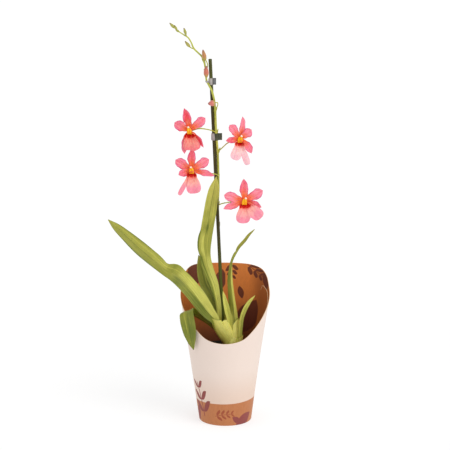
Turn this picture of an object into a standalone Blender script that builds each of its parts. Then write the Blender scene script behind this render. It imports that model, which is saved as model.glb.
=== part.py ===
"""A potted cambria orchid in a scooped carton sleeve.

Metres, +Z up, the origin at the middle of the sleeve's underside. The low side of the
sleeve faces -Y, and +X is to the right of someone who looks at it. Lists of places are
hand-chosen points in millimetres.
"""

import math
import random

import bmesh
import bpy
import numpy as np
from mathutils import Matrix, Vector

MM = 0.001
NAME = "cambria_orchid"

# Clearance between pieces that touch, and how far a cutter's corners stand off for it.
GAP = 0.3
CUTTER_OFFSET = 0.45

# Edges that turn by more degrees than this are shaded sharp.
SHARP_ANGLE = 40

# Carton sleeve: a cone of board whose rim is one curve seen from the side.
SLEEVE_BASE_R = 42.5
SLEEVE_FLARE = 0.148
SLEEVE_TOP = 250.0
BOARD = 0.8
SLEEVE_STEPS = 72
RIM_OUTLINE = [
    (-64, 140.5), (-58, 145.5), (-48, 159), (-25, 184), (0, 203),
    (20, 216), (34, 229), (50, 239), (66, 243), (82, 243.5),
]
FLAP_FROM, FLAP_TO = 20.0, 47.0
FLAP_TOP = 236.0
FLAP_ABOVE_POT = 4.0
FLAP_STEPS = 10
FLAP_SINK = 1.6
RIM_STEPS = 40
RIM_CUTTER_REACH = 120.0

# Grow pot, standing on the sleeve's floor with its rim against the board.
POT_BASE_R = 40.0
POT_WALL = 1.2
POT_FLOOR = 1.4
POT_RIM_Z, POT_TOP = 108.0, 116.0
POT_RIM_WIDTH = 3.2
POT_STEPS = 40
POT_HOLES, POT_HOLE_R, POT_HOLE_RING = 5, 4.0, 24.0
POT_HOLE_STEPS = 12

# Potting bark: a core and the chips that cover it.
BARK_TOP = 103.0
CHIPS = 40
CHIP_SEED = 3
CHIP_LENGTH, CHIP_WIDTH, CHIP_HEIGHT = (15, 24), (10, 16), (6, 9)
CHIP_LIFT = (-1, 2.5)
CHIP_TILT = 0.45
CHIP_SPREAD_R = 50.0
CHIP_TURN = 137.5
ROOM_OVER_BARK = 10.0

# Stake: foot and top of its middle line.
STAKE_R = 2.5
STAKE_FOOT = (2.8, 6.0, 8.0)
STAKE_TOP = (-23.8, 6.0, 584.0)

# Flower stem: x, y, z, radius. It rises behind the stake, passes on its right and crosses in
# front of it.
STEM = [
    (9, -5, 104, 2.6),
    (7, 2, 118, 2.5),
    (2.4, 9, 140, 2.3),
    (-0.6, 10.2, 165, 2.1),
    (-2.6, 11, 189, 2.0),
    (-6.6, 11.4, 222, 2.0),
    (-8.8, 11.4, 262, 1.95),
    (-10.3, 11.4, 303, 1.95),
    (-12, 11.4, 336, 1.9),
    (-12, 11.2, 352, 1.9),
    (-11, 10.4, 377, 1.9),
    (-10.8, 9, 400, 1.9),
    (-11.2, 7.2, 438, 1.85),
    (-12.8, 4.2, 457, 1.75),
    (-14, 3.2, 471, 1.7),
    (-14.8, 3.6, 497, 1.65),
    (-15.6, 2.8, 508, 1.65),
    (-18, 1.4, 523, 1.6),
    (-21.4, 0.9, 535, 1.6),
    (-25.6, 1.4, 543, 1.55),
    (-29, 3.2, 549, 1.5),
    (-30.5, 4.4, 560, 1.45),
    (-31.5, 4.6, 571, 1.45),
    (-33.5, 4.4, 581, 1.5),
    (-37, 4, 588, 1.4),
    (-43, 3.4, 594, 1.3),
    (-49, 3, 600, 1.4),
    (-53, 2.8, 609, 1.2),
    (-58, 2.6, 617, 1.2),
    (-65, 2.4, 621.5, 1.0),
    (-72, 2.2, 626, 1.0),
    (-79, 2, 632, 0.9),
]

# Pedicels: where each leaves the stem, its way, and its end behind the bloom or under the bud.
PEDICELS = {
    "bloom_1": [
        (-14, 3.2, 468.6, 1.0), (-19, -0.8, 471.4, 0.9), (-29, -7, 474.6, 0.9),
        (-42, -13, 476.4, 1.0), (-53.5, -17.3, 474, 1.4),
    ],
    "bloom_2": [
        (-10.8, 8.8, 398, 1.0), (-11, 4.4, 399.4, 0.9), (-15, -1.4, 402.6, 0.9),
        (-31, -9, 405.6, 1.0), (-50.6, -15.9, 411.3, 1.4),
    ],
    "bloom_3": [
        (-11.2, 7.2, 438, 1.0), (-4, 4.5, 445, 0.9), (3, -2, 452, 0.9),
        (12, -10, 457.5, 1.0), (20.9, -17, 461, 1.4),
    ],
    "bloom_4": [
        (-12, 11.2, 351, 1.0), (-6, 10.6, 353.5, 0.9), (3, 4, 356.5, 0.9),
        (15, -7, 360, 1.0), (27.9, -17, 363, 1.4),
    ],
    "bud_1": [
        (-58, 2.6, 617, 1.0), (-60.4, 1.8, 619.6, 0.8), (-61, 1.2, 621, 0.8),
    ],
    "bud_2": [
        (-49, 3, 600, 1.0), (-52.2, 1, 600.6, 0.8), (-54.4, -0.6, 602, 0.8),
    ],
    "bud_3": [
        (-31, 4.6, 566, 1.0), (-27.6, 5, 573, 0.8), (-29.4, 3, 580, 0.8),
        (-31.4, 1, 583.6, 0.8),
    ],
    "bud_4": [
        (-29.4, 3.6, 550.5, 1.0), (-29, 1.2, 552, 0.8), (-29.4, -1.6, 555, 0.8),
    ],
    "bud_5": [
        (-15.4, 3, 505, 1.0), (-12.2, 1.4, 511, 0.8), (-12.2, -2.4, 516, 0.8),
        (-14.8, -5, 516.4, 0.8),
    ],
}

# Bracts at the stem's joints: the joint, and where the scale's point lies.
BRACTS = [
    ((-14, 3.2, 466.5), (-11, 1.2, 475)),
    ((-10.8, 9, 400), (-13.8, 11, 409)),
    ((-11.2, 7.2, 436), (-8, 7.8, 445)),
    ((-12, 11.2, 349), (-9, 13.2, 358)),
    ((-15.4, 3.1, 503), (-12.6, 4.6, 510)),
    ((-30.8, 4.5, 562), (-33.8, 5.2, 569)),
    ((-33.4, 4.4, 580), (-37, 4.6, 585)),
    ((-8.6, 11.4, 255), (-10.6, 14, 267)),
    ((-10.8, 11.4, 312), (-8.6, 13.8, 324)),
]

BRACT_RADII = (1.9, 1.4, 0.3)

# Buds: foot, tip and greatest radius, and the shape they share, as the way along and the
# share of the radius.
BUDS = {
    "bud_1": ((-61.1, 1.1, 621.5), (-64.6, 0.6, 631.5), 2.2),
    "bud_2": ((-54.9, -1.0, 602.4), (-63, -2.4, 612), 2.5),
    "bud_3": ((-31.7, 0.7, 584.2), (-35, -0.4, 599), 3.3),
    "bud_4": ((-29.6, -2.2, 555.4), (-29.8, -4.6, 574), 3.9),
    "bud_5": ((-15.5, -5.2, 516.4), (-27.4, -5.6, 514.6), 4.6),
}
TIP_BUDS = [
    ((-78.6, 2, 631.6), (-87, 1.6, 640), 2.3),
    ((-75.4, 2.1, 628.6), (-79.4, 0.4, 636.6), 2.0),
    ((-72, 2.2, 626), (-77.6, 1.6, 629.6), 1.9),
]

BUD_SHAPE = [(0, 0.35), (0.12, 0.7), (0.32, 1.0), (0.55, 0.92), (0.78, 0.6), (0.93, 0.3), (1, 0.1)]

# Leaves: x, y, z, half width, the way the upper face looks (x, y, z) and the fold in degrees.
LEAVES = {
    "leaf_long": [
        (-9.5, -14, 146, 4.2, 0.3, -0.9, 0.2, 28),
        (-12.6, -14, 156, 5.8, 0.3, -0.9, 0.2, 28),
        (-17, -14.2, 167.4, 8.2, 0.3, -0.9, 0.25, 26),
        (-28.4, -15, 181.2, 12, 0.3, -0.88, 0.3, 22),
        (-41.3, -15.5, 198.8, 14.4, 0.3, -0.86, 0.36, 20),
        (-56.9, -16, 219.9, 14.8, 0.3, -0.86, 0.36, 16),
        (-71.5, -15.5, 236, 14.8, 0.3, -0.86, 0.36, 14),
        (-84.5, -14.5, 245.6, 13.8, 0.3, -0.86, 0.36, 16),
        (-93.5, -13, 249.4, 12.2, 0.3, -0.86, 0.36, 20),
        (-115.4, -10.5, 267.2, 11.8, 0.3, -0.86, 0.36, 20),
        (-137.7, -8.5, 285.9, 11.4, 0.3, -0.87, 0.34, 20),
        (-158.5, -6, 304, 9.4, 0.3, -0.88, 0.3, 18),
        (-175.5, -3, 319.3, 5.8, 0.28, -0.9, 0.25, 12),
        (-187, 0, 329.5, 0.6, 0.28, -0.9, 0.25, 0),
    ],
    "leaf_drooping": [
        (-12.6, -7, 148.6, 4.2, 0.3, 0.9, 0.3, 16),
        (-20.6, -7, 157.6, 6, 0.3, 0.9, 0.3, 14),
        (-31.8, -7, 166.5, 7.4, 0.3, 0.85, 0.4, 10),
        (-41.4, -9, 172.8, 8.4, 0.3, 0.8, 0.5, 8),
        (-49.3, -16, 178, 9.3, 0.1, 0.6, 0.8, 6),
        (-54, -26.5, 186.4, 8, -0.2, 0.3, 0.9, 6),
        (-59.2, -36.5, 188.6, 11.2, -0.4, 0, 0.9, 6),
        (-60.6, -42, 185.4, 12.4, -0.45, -0.55, 0.7, 8),
        (-59.5, -45, 177.7, 13, -0.45, -0.85, 0.2, 10),
        (-57.1, -46.5, 165.1, 12.7, -0.45, -0.89, 0, 10),
        (-54.8, -46.2, 149.5, 10.2, -0.45, -0.89, 0, 9),
        (-52.9, -44.8, 136.9, 5.7, -0.45, -0.89, 0, 6),
        (-50.4, -43.4, 127.2, 0.8, -0.45, -0.89, 0, 0),
    ],
    "leaf_tall": [
        (-8.8, -2, 150, 3.2, 0.1, -0.98, 0, 28),
        (-9.6, -2, 168.6, 3.9, 0.1, -0.98, 0, 24),
        (-10.8, -2, 188.5, 4.6, 0.1, -0.98, 0, 20),
        (-14.2, -2, 208.3, 5.9, 0.1, -0.98, 0, 18),
        (-18.5, -2.4, 226.5, 7.3, 0, -0.98, 0.1, 16),
        (-23.6, -3, 240.6, 8.1, -0.05, -0.98, 0.1, 14),
        (-28.7, -3.4, 256.3, 8.6, -0.1, -0.97, 0.1, 14),
        (-31.4, -3.8, 271.1, 8.9, -0.2, -0.95, 0.1, 14),
        (-34, -4, 287.4, 11.3, 0.1, -0.95, 0.1, 16),
        (-33.2, -4.2, 301.3, 12.1, 0.3, -0.93, 0.1, 16),
        (-30.4, -4.2, 311.8, 10.9, 0.3, -0.93, 0.1, 14),
        (-27.6, -4.4, 325.6, 10.3, 0.2, -0.95, 0.1, 10),
        (-24.8, -4.4, 340.2, 10.1, 0.1, -0.98, 0.1, 8),
        (-21.6, -4.4, 360.3, 9.5, 0, -0.99, 0.1, 8),
        (-17.4, -4.2, 381.1, 7.7, 0, -0.99, 0.1, 6),
        (-14, -4, 399.5, 0.6, 0, -0.99, 0.1, 0),
    ],
    "leaf_behind": [
        (-8.6, 2.4, 144, 3.4, 0, -0.99, 0, 24),
        (-11, 2.8, 162, 4.2, 0.1, -0.98, 0.1, 20),
        (-15.5, 3.4, 184, 5.7, 0.2, -0.96, 0.1, 18),
        (-23.6, 5, 205, 8, 0.25, -0.94, 0.1, 18),
        (-32.6, 8, 222.6, 9.6, 0.25, -0.94, 0.1, 16),
        (-37.5, 11, 241.8, 9, 0.25, -0.94, 0.1, 14),
        (-41.2, 13, 257.9, 4.6, 0.25, -0.94, 0.1, 10),
        (-43, 13.4, 269, 0.6, 0.25, -0.94, 0.1, 0),
    ],
    "leaf_folded": [
        (14.2, -7, 144, 6.4, -0.2, 0.95, 0, 40),
        (14.3, -6.8, 166.4, 8.8, -0.2, 0.95, 0, 42),
        (13, -6.6, 186.3, 9, -0.2, 0.95, 0, 48),
        (10.6, -6.4, 209.3, 8, -0.2, 0.95, 0, 52),
        (8.7, -6, 233.9, 7, -0.2, 0.95, 0, 54),
        (9.3, -5.4, 249.4, 4.8, -0.25, 0.93, 0, 54),
        (11.1, -4.6, 261.5, 3.2, -0.5, 0.8, 0, 50),
        (15.8, -4, 272.6, 3.6, -0.75, 0.4, 0.3, 44),
        (22.4, -3, 283.5, 4.8, -0.7, -0.4, 0.5, 34),
        (31.6, -1, 294.6, 4.1, -0.6, -0.6, 0.6, 26),
        (39.4, 1, 305.4, 2.9, -0.6, -0.6, 0.6, 20),
        (46.8, 3, 313.4, 0.5, -0.6, -0.6, 0.6, 0),
    ],
    "leaf_short": [
        (8.2, -11, 148, 4.2, 0, -1, 0, 34),
        (6.6, -11, 168.5, 5.3, 0.1, -0.98, 0, 36),
        (2.9, -10.6, 184.4, 5.6, 0.1, -0.98, 0, 36),
        (-0.7, -10, 200.3, 3.9, 0.1, -0.98, 0, 30),
        (-3.8, -9, 214.6, 0.5, 0.1, -0.98, 0, 0),
    ],
    "leaf_small": [
        (24, -15, 132, 3, 0, -1, 0, 34),
        (24.3, -15, 153, 3.9, 0, -1, 0, 34),
        (25.9, -15, 170.2, 4, 0.1, -0.98, 0, 30),
        (30.4, -15, 185, 4.1, 0.2, -0.95, 0, 28),
        (38.1, -15, 198.2, 3.1, 0.2, -0.95, 0, 20),
        (47.4, -15, 208.6, 0.5, 0.2, -0.95, 0, 0),
    ],
}
LEAF_THICKNESS = 1.0
LEAF_STEPS = {
    "leaf_long": 18, "leaf_drooping": 19, "leaf_tall": 18, "leaf_behind": 10,
    "leaf_folded": 15, "leaf_short": 7, "leaf_small": 8,
}
LEAF_WAVE = {"leaf_long": 0.9, "leaf_drooping": 0.7}

# Pseudobulb: a flattened egg and the sheaths that fan from it, each x, y, z, radius.
BULB_MIDDLE = (13, -11, 113)
BULB_SIZE = (15, 11, 31)
BULB_TILT = -8
SHEATHS = [
    [
        (14, -12, 112, 10.5), (8.5, -13, 134, 10.5), (-1, -14, 147, 9.6), (-9.5, -14, 158, 9),
        (-15.5, -14, 170.5, 7),
    ],
    [(12, -6, 112, 10), (2, -4, 134, 9), (-6.6, -2.5, 150, 7), (-9.4, -1.8, 160, 5.6)],
    [(14, -10, 112, 12), (15, -9, 138, 10.4), (14.6, -7.8, 152, 8.8), (14.4, -7.4, 163, 7.2)],
    [(11, -11, 120, 9), (6, -11.6, 144, 8.6), (0.5, -11.6, 158, 7.2), (-1.8, -11.4, 165.5, 6)],
    [(18, -13, 112, 7), (21.6, -14.4, 130, 5.6), (23.6, -15, 141, 4.8)],
]
SHEATH_FLATNESS = 0.62

# Blooms: middle, way it looks, tepals (tip, bend of the middle, half width, kind), lip lobes
# (bearing from straight down in degrees, reach, half spread in degrees), how far the lip is
# thrown forward, and the column's tip.
BLOOMS = {
    "bloom_1": {
        "middle": (-56, -20, 474), "looks": (-0.15, -0.95, -0.2),
        "tepals": [
            ((-8, -5, 35), (3, -2, 0), 6.8, "sepal"),
            ((-23, -5, 13), (0, -2, 0), 8.4, "petal"),
            ((25, -4, 20), (0, -2, 1), 7.2, "petal"),
            ((22, -13, -25), (3, -3, 3), 4.4, "sepal"),
            ((-7.6, -11.5, -35), (-4, -3, 2), 6.2, "sepal"),
        ],
        "lip": [(-6, 31, 30), (26, 33, 26)], "throw": 17, "column": (-2, -10, 7)},
    "bloom_2": {
        "middle": (-53, -18.6, 412), "looks": (-0.1, -0.98, -0.1),
        "tepals": [
            ((1, -4, 34), (0, -2, 0), 6.6, "sepal"),
            ((-25, -4, 16.2), (0, -2, 1), 8, "petal"),
            ((27.5, -3, 17), (0, -2, 1), 7.6, "petal"),
            ((36, -4, -9), (0, -2, 2), 5.2, "sepal"),
            ((-20, -9, -7), (-2, -3, 1), 6.4, "sepal"),
        ],
        "lip": [(-28, 45, 9), (8, 38, 36)], "throw": 13, "column": (-1, -10, 6)},
    "bloom_3": {
        "middle": (23, -20, 461), "looks": (0.32, -0.93, -0.1),
        "tepals": [
            ((4, -3, 35), (3, -2, 0), 5, "sepal"),
            ((-16, -6, 22.4), (0, -2, 1), 6.8, "petal"),
            ((18, -3, 14.6), (0, -2, 1), 7.6, "petal"),
            ((18, -6, -22), (3, -2, 2), 6.6, "sepal"),
            ((-22, -10, -2), (0, -2, 1), 5.4, "sepal"),
        ],
        "lip": [(-16, 34.5, 29), (18, 43, 14)], "throw": 14, "column": (3, -10, 6)},
    "bloom_4": {
        "middle": (30, -20, 363), "looks": (0.03, -1, -0.02),
        "tepals": [
            ((-1, -5, 35.5), (0, -2, 0), 7, "sepal"),
            ((-32, -5, 10), (0, -2, 1), 7.8, "petal"),
            ((29, -4, 17), (0, -2, 1), 8, "petal"),
            ((27, -3, -10), (0, -1, 1), 6, "sepal"),
            ((-33, -6, -12), (0, -2, 1), 6, "sepal"),
        ],
        "lip": [(-5, 36, 37), (48, 39, 30)], "throw": 12, "column": (3, -10, 6)},
}
TEPAL_WIDTHS = {
    "sepal": [(0, 0.36), (0.3, 0.82), (0.55, 1.0), (0.8, 0.7), (0.93, 0.36), (1, 0.08)],
    "petal": [(0, 0.3), (0.3, 0.74), (0.6, 1.0), (0.82, 0.94), (0.94, 0.66), (1, 0.2)],
}
TEPAL_THICKNESS = 0.9
TEPAL_STEPS = 6
TEPAL_ROOT = 1.6
TEPAL_FOLD = 12
TEPAL_WAVE = 0.6
HUB_R = 3.2

# Lip: where its claw stands from the bloom's middle, the claw's radius, how far above the
# middle the reach is measured from, how much of the throw shows as a bow, and the ruffle.
CLAW = (0, -3.1, -1.6)
CLAW_R = 0.8
REACH_FROM = 1.7
LIP_MARGIN = 4
LIP_BOW = 0.62
RUFFLE, RUFFLE_TURNS = 1.1, 7

# Column: its foot from the bloom's middle, and its radius along its length.
COLUMN_FOOT = (0, -HUB_R - 0.6, 1.4)
COLUMN_SHAPE = [(0, 1.5), (0.3, 1.6), (0.65, 2.0), (0.88, 1.7), (1, 0.7)]

# Clips: middle, height, the tab's reach to the right, and the outer radius round the stem.
CLIPS = {
    "clip_upper": {"middle": (-22.3, 6, 547.5), "height": 10.5, "reach": 4.6, "grip": 2.7},
    "clip_lower": {"middle": (-18.3, 6, 461), "height": 11, "reach": 9.9, "grip": 3.1},
}
CLIP_WALL = 1.5
TAB_THICKNESS = 1.8
TAB_OFFSET = (-1.5, 0.5)

# Plain colours and roughness, one of each kind of surface.
COLOURS = {
    "board": ((0.86, 0.78, 0.72), 0.75),
    "pot": ((0.1, 0.09, 0.08), 0.45),
    "bark": ((0.16, 0.08, 0.04), 0.95),
    "bulb": ((0.52, 0.53, 0.1), 0.5),
    "leaf": ((0.34, 0.38, 0.06), 0.45),
    "stem": ((0.48, 0.5, 0.08), 0.5),
    "tepal": ((0.9, 0.16, 0.18), 0.5),
    "lip": ((0.95, 0.38, 0.44), 0.5),
    "column": ((0.95, 0.62, 0.18), 0.5),
    "bud": ((0.66, 0.24, 0.16), 0.5),
    "stake": ((0.05, 0.08, 0.03), 0.4),
    "clip": ((0.35, 0.34, 0.31), 0.35),
}


def start_scene():
    """Empties the scene and makes the two collections."""
    for item in list(bpy.data.objects):
        bpy.data.objects.remove(item)
    for title in (NAME, "cutters"):
        bpy.context.scene.collection.children.link(bpy.data.collections.new(title))


def material(kind):
    """The plain material of one kind of surface."""
    found = bpy.data.materials.get(kind)
    if found:
        return found
    colour, roughness = COLOURS[kind]
    made = bpy.data.materials.new(kind)
    made.use_nodes = True
    shader = made.node_tree.nodes["Principled BSDF"]
    shader.inputs["Base Color"].default_value = (*colour, 1)
    shader.inputs["Roughness"].default_value = roughness
    return made


def add(name, mesh, kind, collection=NAME):
    """Puts a mesh in the scene as an object with its material."""
    made = bpy.data.objects.new(name, mesh)
    if not mesh.materials:
        mesh.materials.append(material(kind))
    bpy.data.collections[collection].objects.link(made)
    return made


def evaluated_mesh(item):
    """The object's mesh as its modifiers leave it."""
    bpy.context.view_layer.update()
    graph = bpy.context.evaluated_depsgraph_get()
    return bpy.data.meshes.new_from_object(item.evaluated_get(graph))


def bake(item):
    """Applies every modifier of an object."""
    item.data = evaluated_mesh(item)
    item.modifiers.clear()
    return item


def cutter_from(item, offset=CUTTER_OFFSET):
    """A cutter a little larger all round than the object it makes room for."""
    mesh = evaluated_mesh(item)
    normals = [vertex.normal.copy() for vertex in mesh.vertices]
    for vertex, normal in zip(mesh.vertices, normals):
        vertex.co += normal * offset * MM
    return as_cutter(add("room_for_" + item.name, mesh, "board", "cutters"))


def as_cutter(item):
    """Marks an object as a cutter."""
    item.hide_render = True
    item.display_type = "WIRE"
    return item


def boolean(item, other, operation, solver="EXACT"):
    """A live Boolean between two objects."""
    made = item.modifiers.new(operation.lower() + "_" + other.name, "BOOLEAN")
    made.operation = operation
    made.solver = solver
    made.object = other


def unite(item, others):
    """Fuses the other objects into the first and removes them."""
    group = bpy.data.collections.new("joined_to_" + item.name)
    bpy.context.scene.collection.children.link(group)
    for other in others:
        group.objects.link(other)
    made = item.modifiers.new("union", "BOOLEAN")
    made.operation = "UNION"
    made.operand_type = "COLLECTION"
    made.collection = group
    bake(item)
    for other in others:
        bpy.data.objects.remove(other)
    bpy.data.collections.remove(group)
    return item


def keep_largest(item):
    """Fills the hollows that fusing sealed and drops loose scraps: only the largest shell stays."""
    shape = bmesh.new()
    shape.from_mesh(item.data)
    left, shells = set(shape.faces), []
    while left:
        shell, reached = set(), [left.pop()]
        while reached:
            face = reached.pop()
            shell.add(face)
            for edge in face.edges:
                fresh = [other for other in edge.link_faces if other in left]
                left.difference_update(fresh)
                reached.extend(fresh)
        shells.append(shell)
    largest = max(shells, key=lambda shell: sum(face.calc_area() for face in shell))
    loose = [face for shell in shells if shell is not largest for face in shell]
    bmesh.ops.delete(shape, geom=loose, context="FACES")
    shape.to_mesh(item.data)
    shape.free()
    return item


def turned(name, profile, steps, kind):
    """A profile of radius and height, turned about the Z axis."""
    mesh = bpy.data.meshes.new(name)
    places = [(radius * MM, 0, height * MM) for radius, height in profile]
    mesh.from_pydata(places, [(i, i + 1) for i in range(len(places) - 1)], [])
    made = add(name, mesh, kind)
    screw = made.modifiers.new("turn", "SCREW")
    screw.steps = screw.render_steps = steps
    screw.use_merge_vertices = True
    screw.merge_threshold = 0.00001
    screw.use_smooth_shade = False
    return made


def tube(name, rows, kind, resolution=2):
    """A round stem along rows of x, y, z and radius, as a mesh."""
    curve = bpy.data.curves.new(name, "CURVE")
    curve.dimensions = "3D"
    curve.bevel_depth = MM
    curve.bevel_resolution = resolution
    curve.resolution_u = curve.render_resolution_u = 1
    curve.use_fill_caps = True
    spline = curve.splines.new("POLY")
    spline.points.add(len(rows) - 1)
    for point, (x, y, z, radius) in zip(spline.points, rows):
        point.co = (x * MM, y * MM, z * MM, 1)
        point.radius = radius
    drawn = add(name + "_curve", curve, kind)
    mesh = evaluated_mesh(drawn)
    bpy.data.objects.remove(drawn)
    shape = bmesh.new()
    shape.from_mesh(mesh)
    bmesh.ops.remove_doubles(shape, verts=shape.verts, dist=0.00001)
    bmesh.ops.recalc_face_normals(shape, faces=shape.faces)
    shape.to_mesh(mesh)
    shape.free()
    return add(name, mesh, kind)


def smooth_rows(rows, count):
    """Reads a smooth curve through the rows at even steps; the first three values are a place."""
    rows = np.array(rows, float)
    chords = np.linalg.norm(np.diff(rows[:, :3], axis=0), axis=1)
    knots = np.concatenate([[0], np.cumsum(chords)])
    slopes = np.gradient(rows, knots, axis=0)
    places = np.linspace(0, knots[-1], count)
    left = np.clip(np.searchsorted(knots, places, side="right") - 1, 0, len(knots) - 2)
    span = (knots[left + 1] - knots[left])[:, None]
    t = (places - knots[left])[:, None] / span
    start = (2 * t**3 - 3 * t**2 + 1) * rows[left] + (t**3 - 2 * t**2 + t) * slopes[left] * span
    return start + (3 * t**2 - 2 * t**3) * rows[left + 1] + (t**3 - t**2) * slopes[left + 1] * span


def blade(name, rows, across, kind, thickness, wave=0.0, turns=2.0):
    """A leaf or tepal: rows of x, y, z, half width, facing and fold, from root to tip."""
    rows = np.array(rows, float)
    along = len(rows) - 1
    shape = bmesh.new()
    bmesh.ops.create_grid(shape, x_segments=along, y_segments=across, size=0.5)
    tangents = np.gradient(rows[:, :3], axis=0)
    for vertex in shape.verts:
        u, v = vertex.co.x + 0.5, vertex.co.y * 2
        i = round(u * along)
        x, y, z, half, nx, ny, nz, fold = rows[i]
        tangent = Vector(tangents[i]).normalized()
        side = Vector((nx, ny, nz)).cross(tangent).normalized()
        face = tangent.cross(side)
        angle = math.radians(fold)
        ripple = wave * abs(v) ** 2 * math.sin(math.pi * u) * math.sin(math.tau * turns * u + 1.6 * v)
        lift = half * math.sin(angle) * abs(v) ** 1.3 + ripple
        vertex.co = (Vector((x, y, z)) + side * half * math.cos(angle) * v + face * lift) * MM
    bmesh.ops.triangulate(shape, faces=shape.faces, quad_method="FIXED")
    mesh = bpy.data.meshes.new(name)
    shape.to_mesh(mesh)
    shape.free()
    made = add(name, mesh, kind)
    solidify = made.modifiers.new("thickness", "SOLIDIFY")
    solidify.thickness = thickness * MM
    solidify.offset = 0
    return made


def ball(name, middle, size, kind, rings=8, segments=12, turn=None):
    """A scaled and turned sphere."""
    shape = bmesh.new()
    bmesh.ops.create_uvsphere(shape, u_segments=segments, v_segments=rings, radius=1)
    place = Matrix.Translation(Vector(middle) * MM) @ (turn or Matrix())
    stretch = Matrix.Diagonal((*[extent * MM for extent in size], 1))
    bmesh.ops.transform(shape, matrix=place @ stretch, verts=shape.verts)
    mesh = bpy.data.meshes.new(name)
    shape.to_mesh(mesh)
    shape.free()
    return add(name, mesh, kind)


def sleeve_radius(z):
    """Outer radius of the sleeve at a height."""
    return SLEEVE_BASE_R + SLEEVE_FLARE * z


def make_sleeve():
    """The carton cone, its floor, the glued overlap inside and the scooped rim."""
    foot, top = sleeve_radius(0), sleeve_radius(SLEEVE_TOP)
    inside = [(0, BOARD), (foot - BOARD, BOARD), (top - BOARD, SLEEVE_TOP)]
    profile = inside + [(top, SLEEVE_TOP), (foot, 0), (0, 0)]
    sleeve = turned("sleeve", profile, SLEEVE_STEPS, "board")
    unite(bake(sleeve), [make_flap()])
    boolean(sleeve, make_rim_cutter(), "DIFFERENCE")
    return sleeve


def make_flap():
    """The strip of board that overlaps inside, at the back right."""
    foot = POT_TOP + FLAP_ABOVE_POT
    shape = bmesh.new()
    bmesh.ops.create_grid(shape, x_segments=FLAP_STEPS, y_segments=1, size=0.5)
    for vertex in shape.verts:
        angle = math.radians(FLAP_FROM + (FLAP_TO - FLAP_FROM) * (vertex.co.x + 0.5))
        z = foot if vertex.co.y < 0 else FLAP_TOP
        radius = sleeve_radius(z) - BOARD * FLAP_SINK
        vertex.co = Vector((radius * math.cos(angle), radius * math.sin(angle), z)) * MM
    mesh = bpy.data.meshes.new("flap")
    shape.to_mesh(mesh)
    shape.free()
    flap = add("flap", mesh, "board")
    solidify = flap.modifiers.new("thickness", "SOLIDIFY")
    solidify.thickness = BOARD * 2 * MM
    solidify.offset = 0
    return bake(flap)


def make_rim_cutter():
    """Everything above the rim, from its side outline carried across X."""
    rim = smooth_rows([(y, z, 0) for y, z in RIM_OUTLINE], RIM_STEPS)
    far, high = RIM_CUTTER_REACH, SLEEVE_TOP * 1.2
    outline = [(-far, rim[0][1])] + [(y, z) for y, z, _ in rim]
    outline += [(far, rim[-1][1]), (far, high), (-far, high)]
    curve = bpy.data.curves.new("above_rim", "CURVE")
    curve.dimensions = "2D"
    curve.fill_mode = "BOTH"
    curve.extrude = far * MM
    curve.resolution_u = curve.render_resolution_u = 1
    spline = curve.splines.new("POLY")
    spline.points.add(len(outline) - 1)
    spline.use_cyclic_u = True
    for point, (y, z) in zip(spline.points, outline):
        point.co = (y * MM, z * MM, 0, 1)
    drawn = add("above_rim_curve", curve, "board", "cutters")
    mesh = evaluated_mesh(drawn)
    bpy.data.objects.remove(drawn)
    shape = bmesh.new()
    shape.from_mesh(mesh)
    bmesh.ops.remove_doubles(shape, verts=shape.verts, dist=0.00001)
    upright = Matrix(((0, 0, 1, 0), (1, 0, 0, 0), (0, 1, 0, 0), (0, 0, 0, 1)))
    bmesh.ops.transform(shape, matrix=upright, verts=shape.verts)
    bmesh.ops.recalc_face_normals(shape, faces=shape.faces)
    shape.to_mesh(mesh)
    shape.free()
    return as_cutter(add("above_rim", mesh, "board", "cutters"))


def pot_inside_radius(z):
    """Inner radius of the grow pot at a height."""
    foot = POT_BASE_R - POT_WALL
    top = sleeve_radius(POT_RIM_Z) - BOARD - GAP - POT_RIM_WIDTH
    return foot + (top - foot) * z / POT_TOP


def hole_cutter(name, middle):
    """An upright pin that cuts one drain hole."""
    shape = bmesh.new()
    bmesh.ops.create_cone(
        shape, cap_ends=True, segments=POT_HOLE_STEPS, depth=POT_FLOOR * 5 * MM,
        radius1=POT_HOLE_R * MM, radius2=POT_HOLE_R * MM, matrix=Matrix.Translation(middle * MM))
    mesh = bpy.data.meshes.new(name)
    shape.to_mesh(mesh)
    shape.free()
    return as_cutter(add(name, mesh, "board", "cutters"))


def make_pot():
    """The plain grow pot with drain holes in its floor."""
    z0 = BOARD + GAP
    rim_r = sleeve_radius(POT_RIM_Z) - BOARD - GAP
    floor = z0 + POT_FLOOR
    profile = [
        (0, floor),
        (pot_inside_radius(floor), floor),
        (pot_inside_radius(POT_TOP), POT_TOP),
        (rim_r, POT_TOP),
        (rim_r, POT_RIM_Z),
        (pot_inside_radius(POT_RIM_Z) + POT_WALL, POT_RIM_Z),
        (POT_BASE_R, z0),
        (0, z0),
    ]
    pot = bake(turned("grow_pot", profile, POT_STEPS, "pot"))
    for i in range(POT_HOLES):
        angle = math.tau * (i + 0.5) / POT_HOLES
        middle = Vector((POT_HOLE_RING * math.cos(angle), POT_HOLE_RING * math.sin(angle), floor))
        boolean(pot, hole_cutter(f"drain_hole_{i + 1}", middle), "DIFFERENCE")
    return pot


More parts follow.
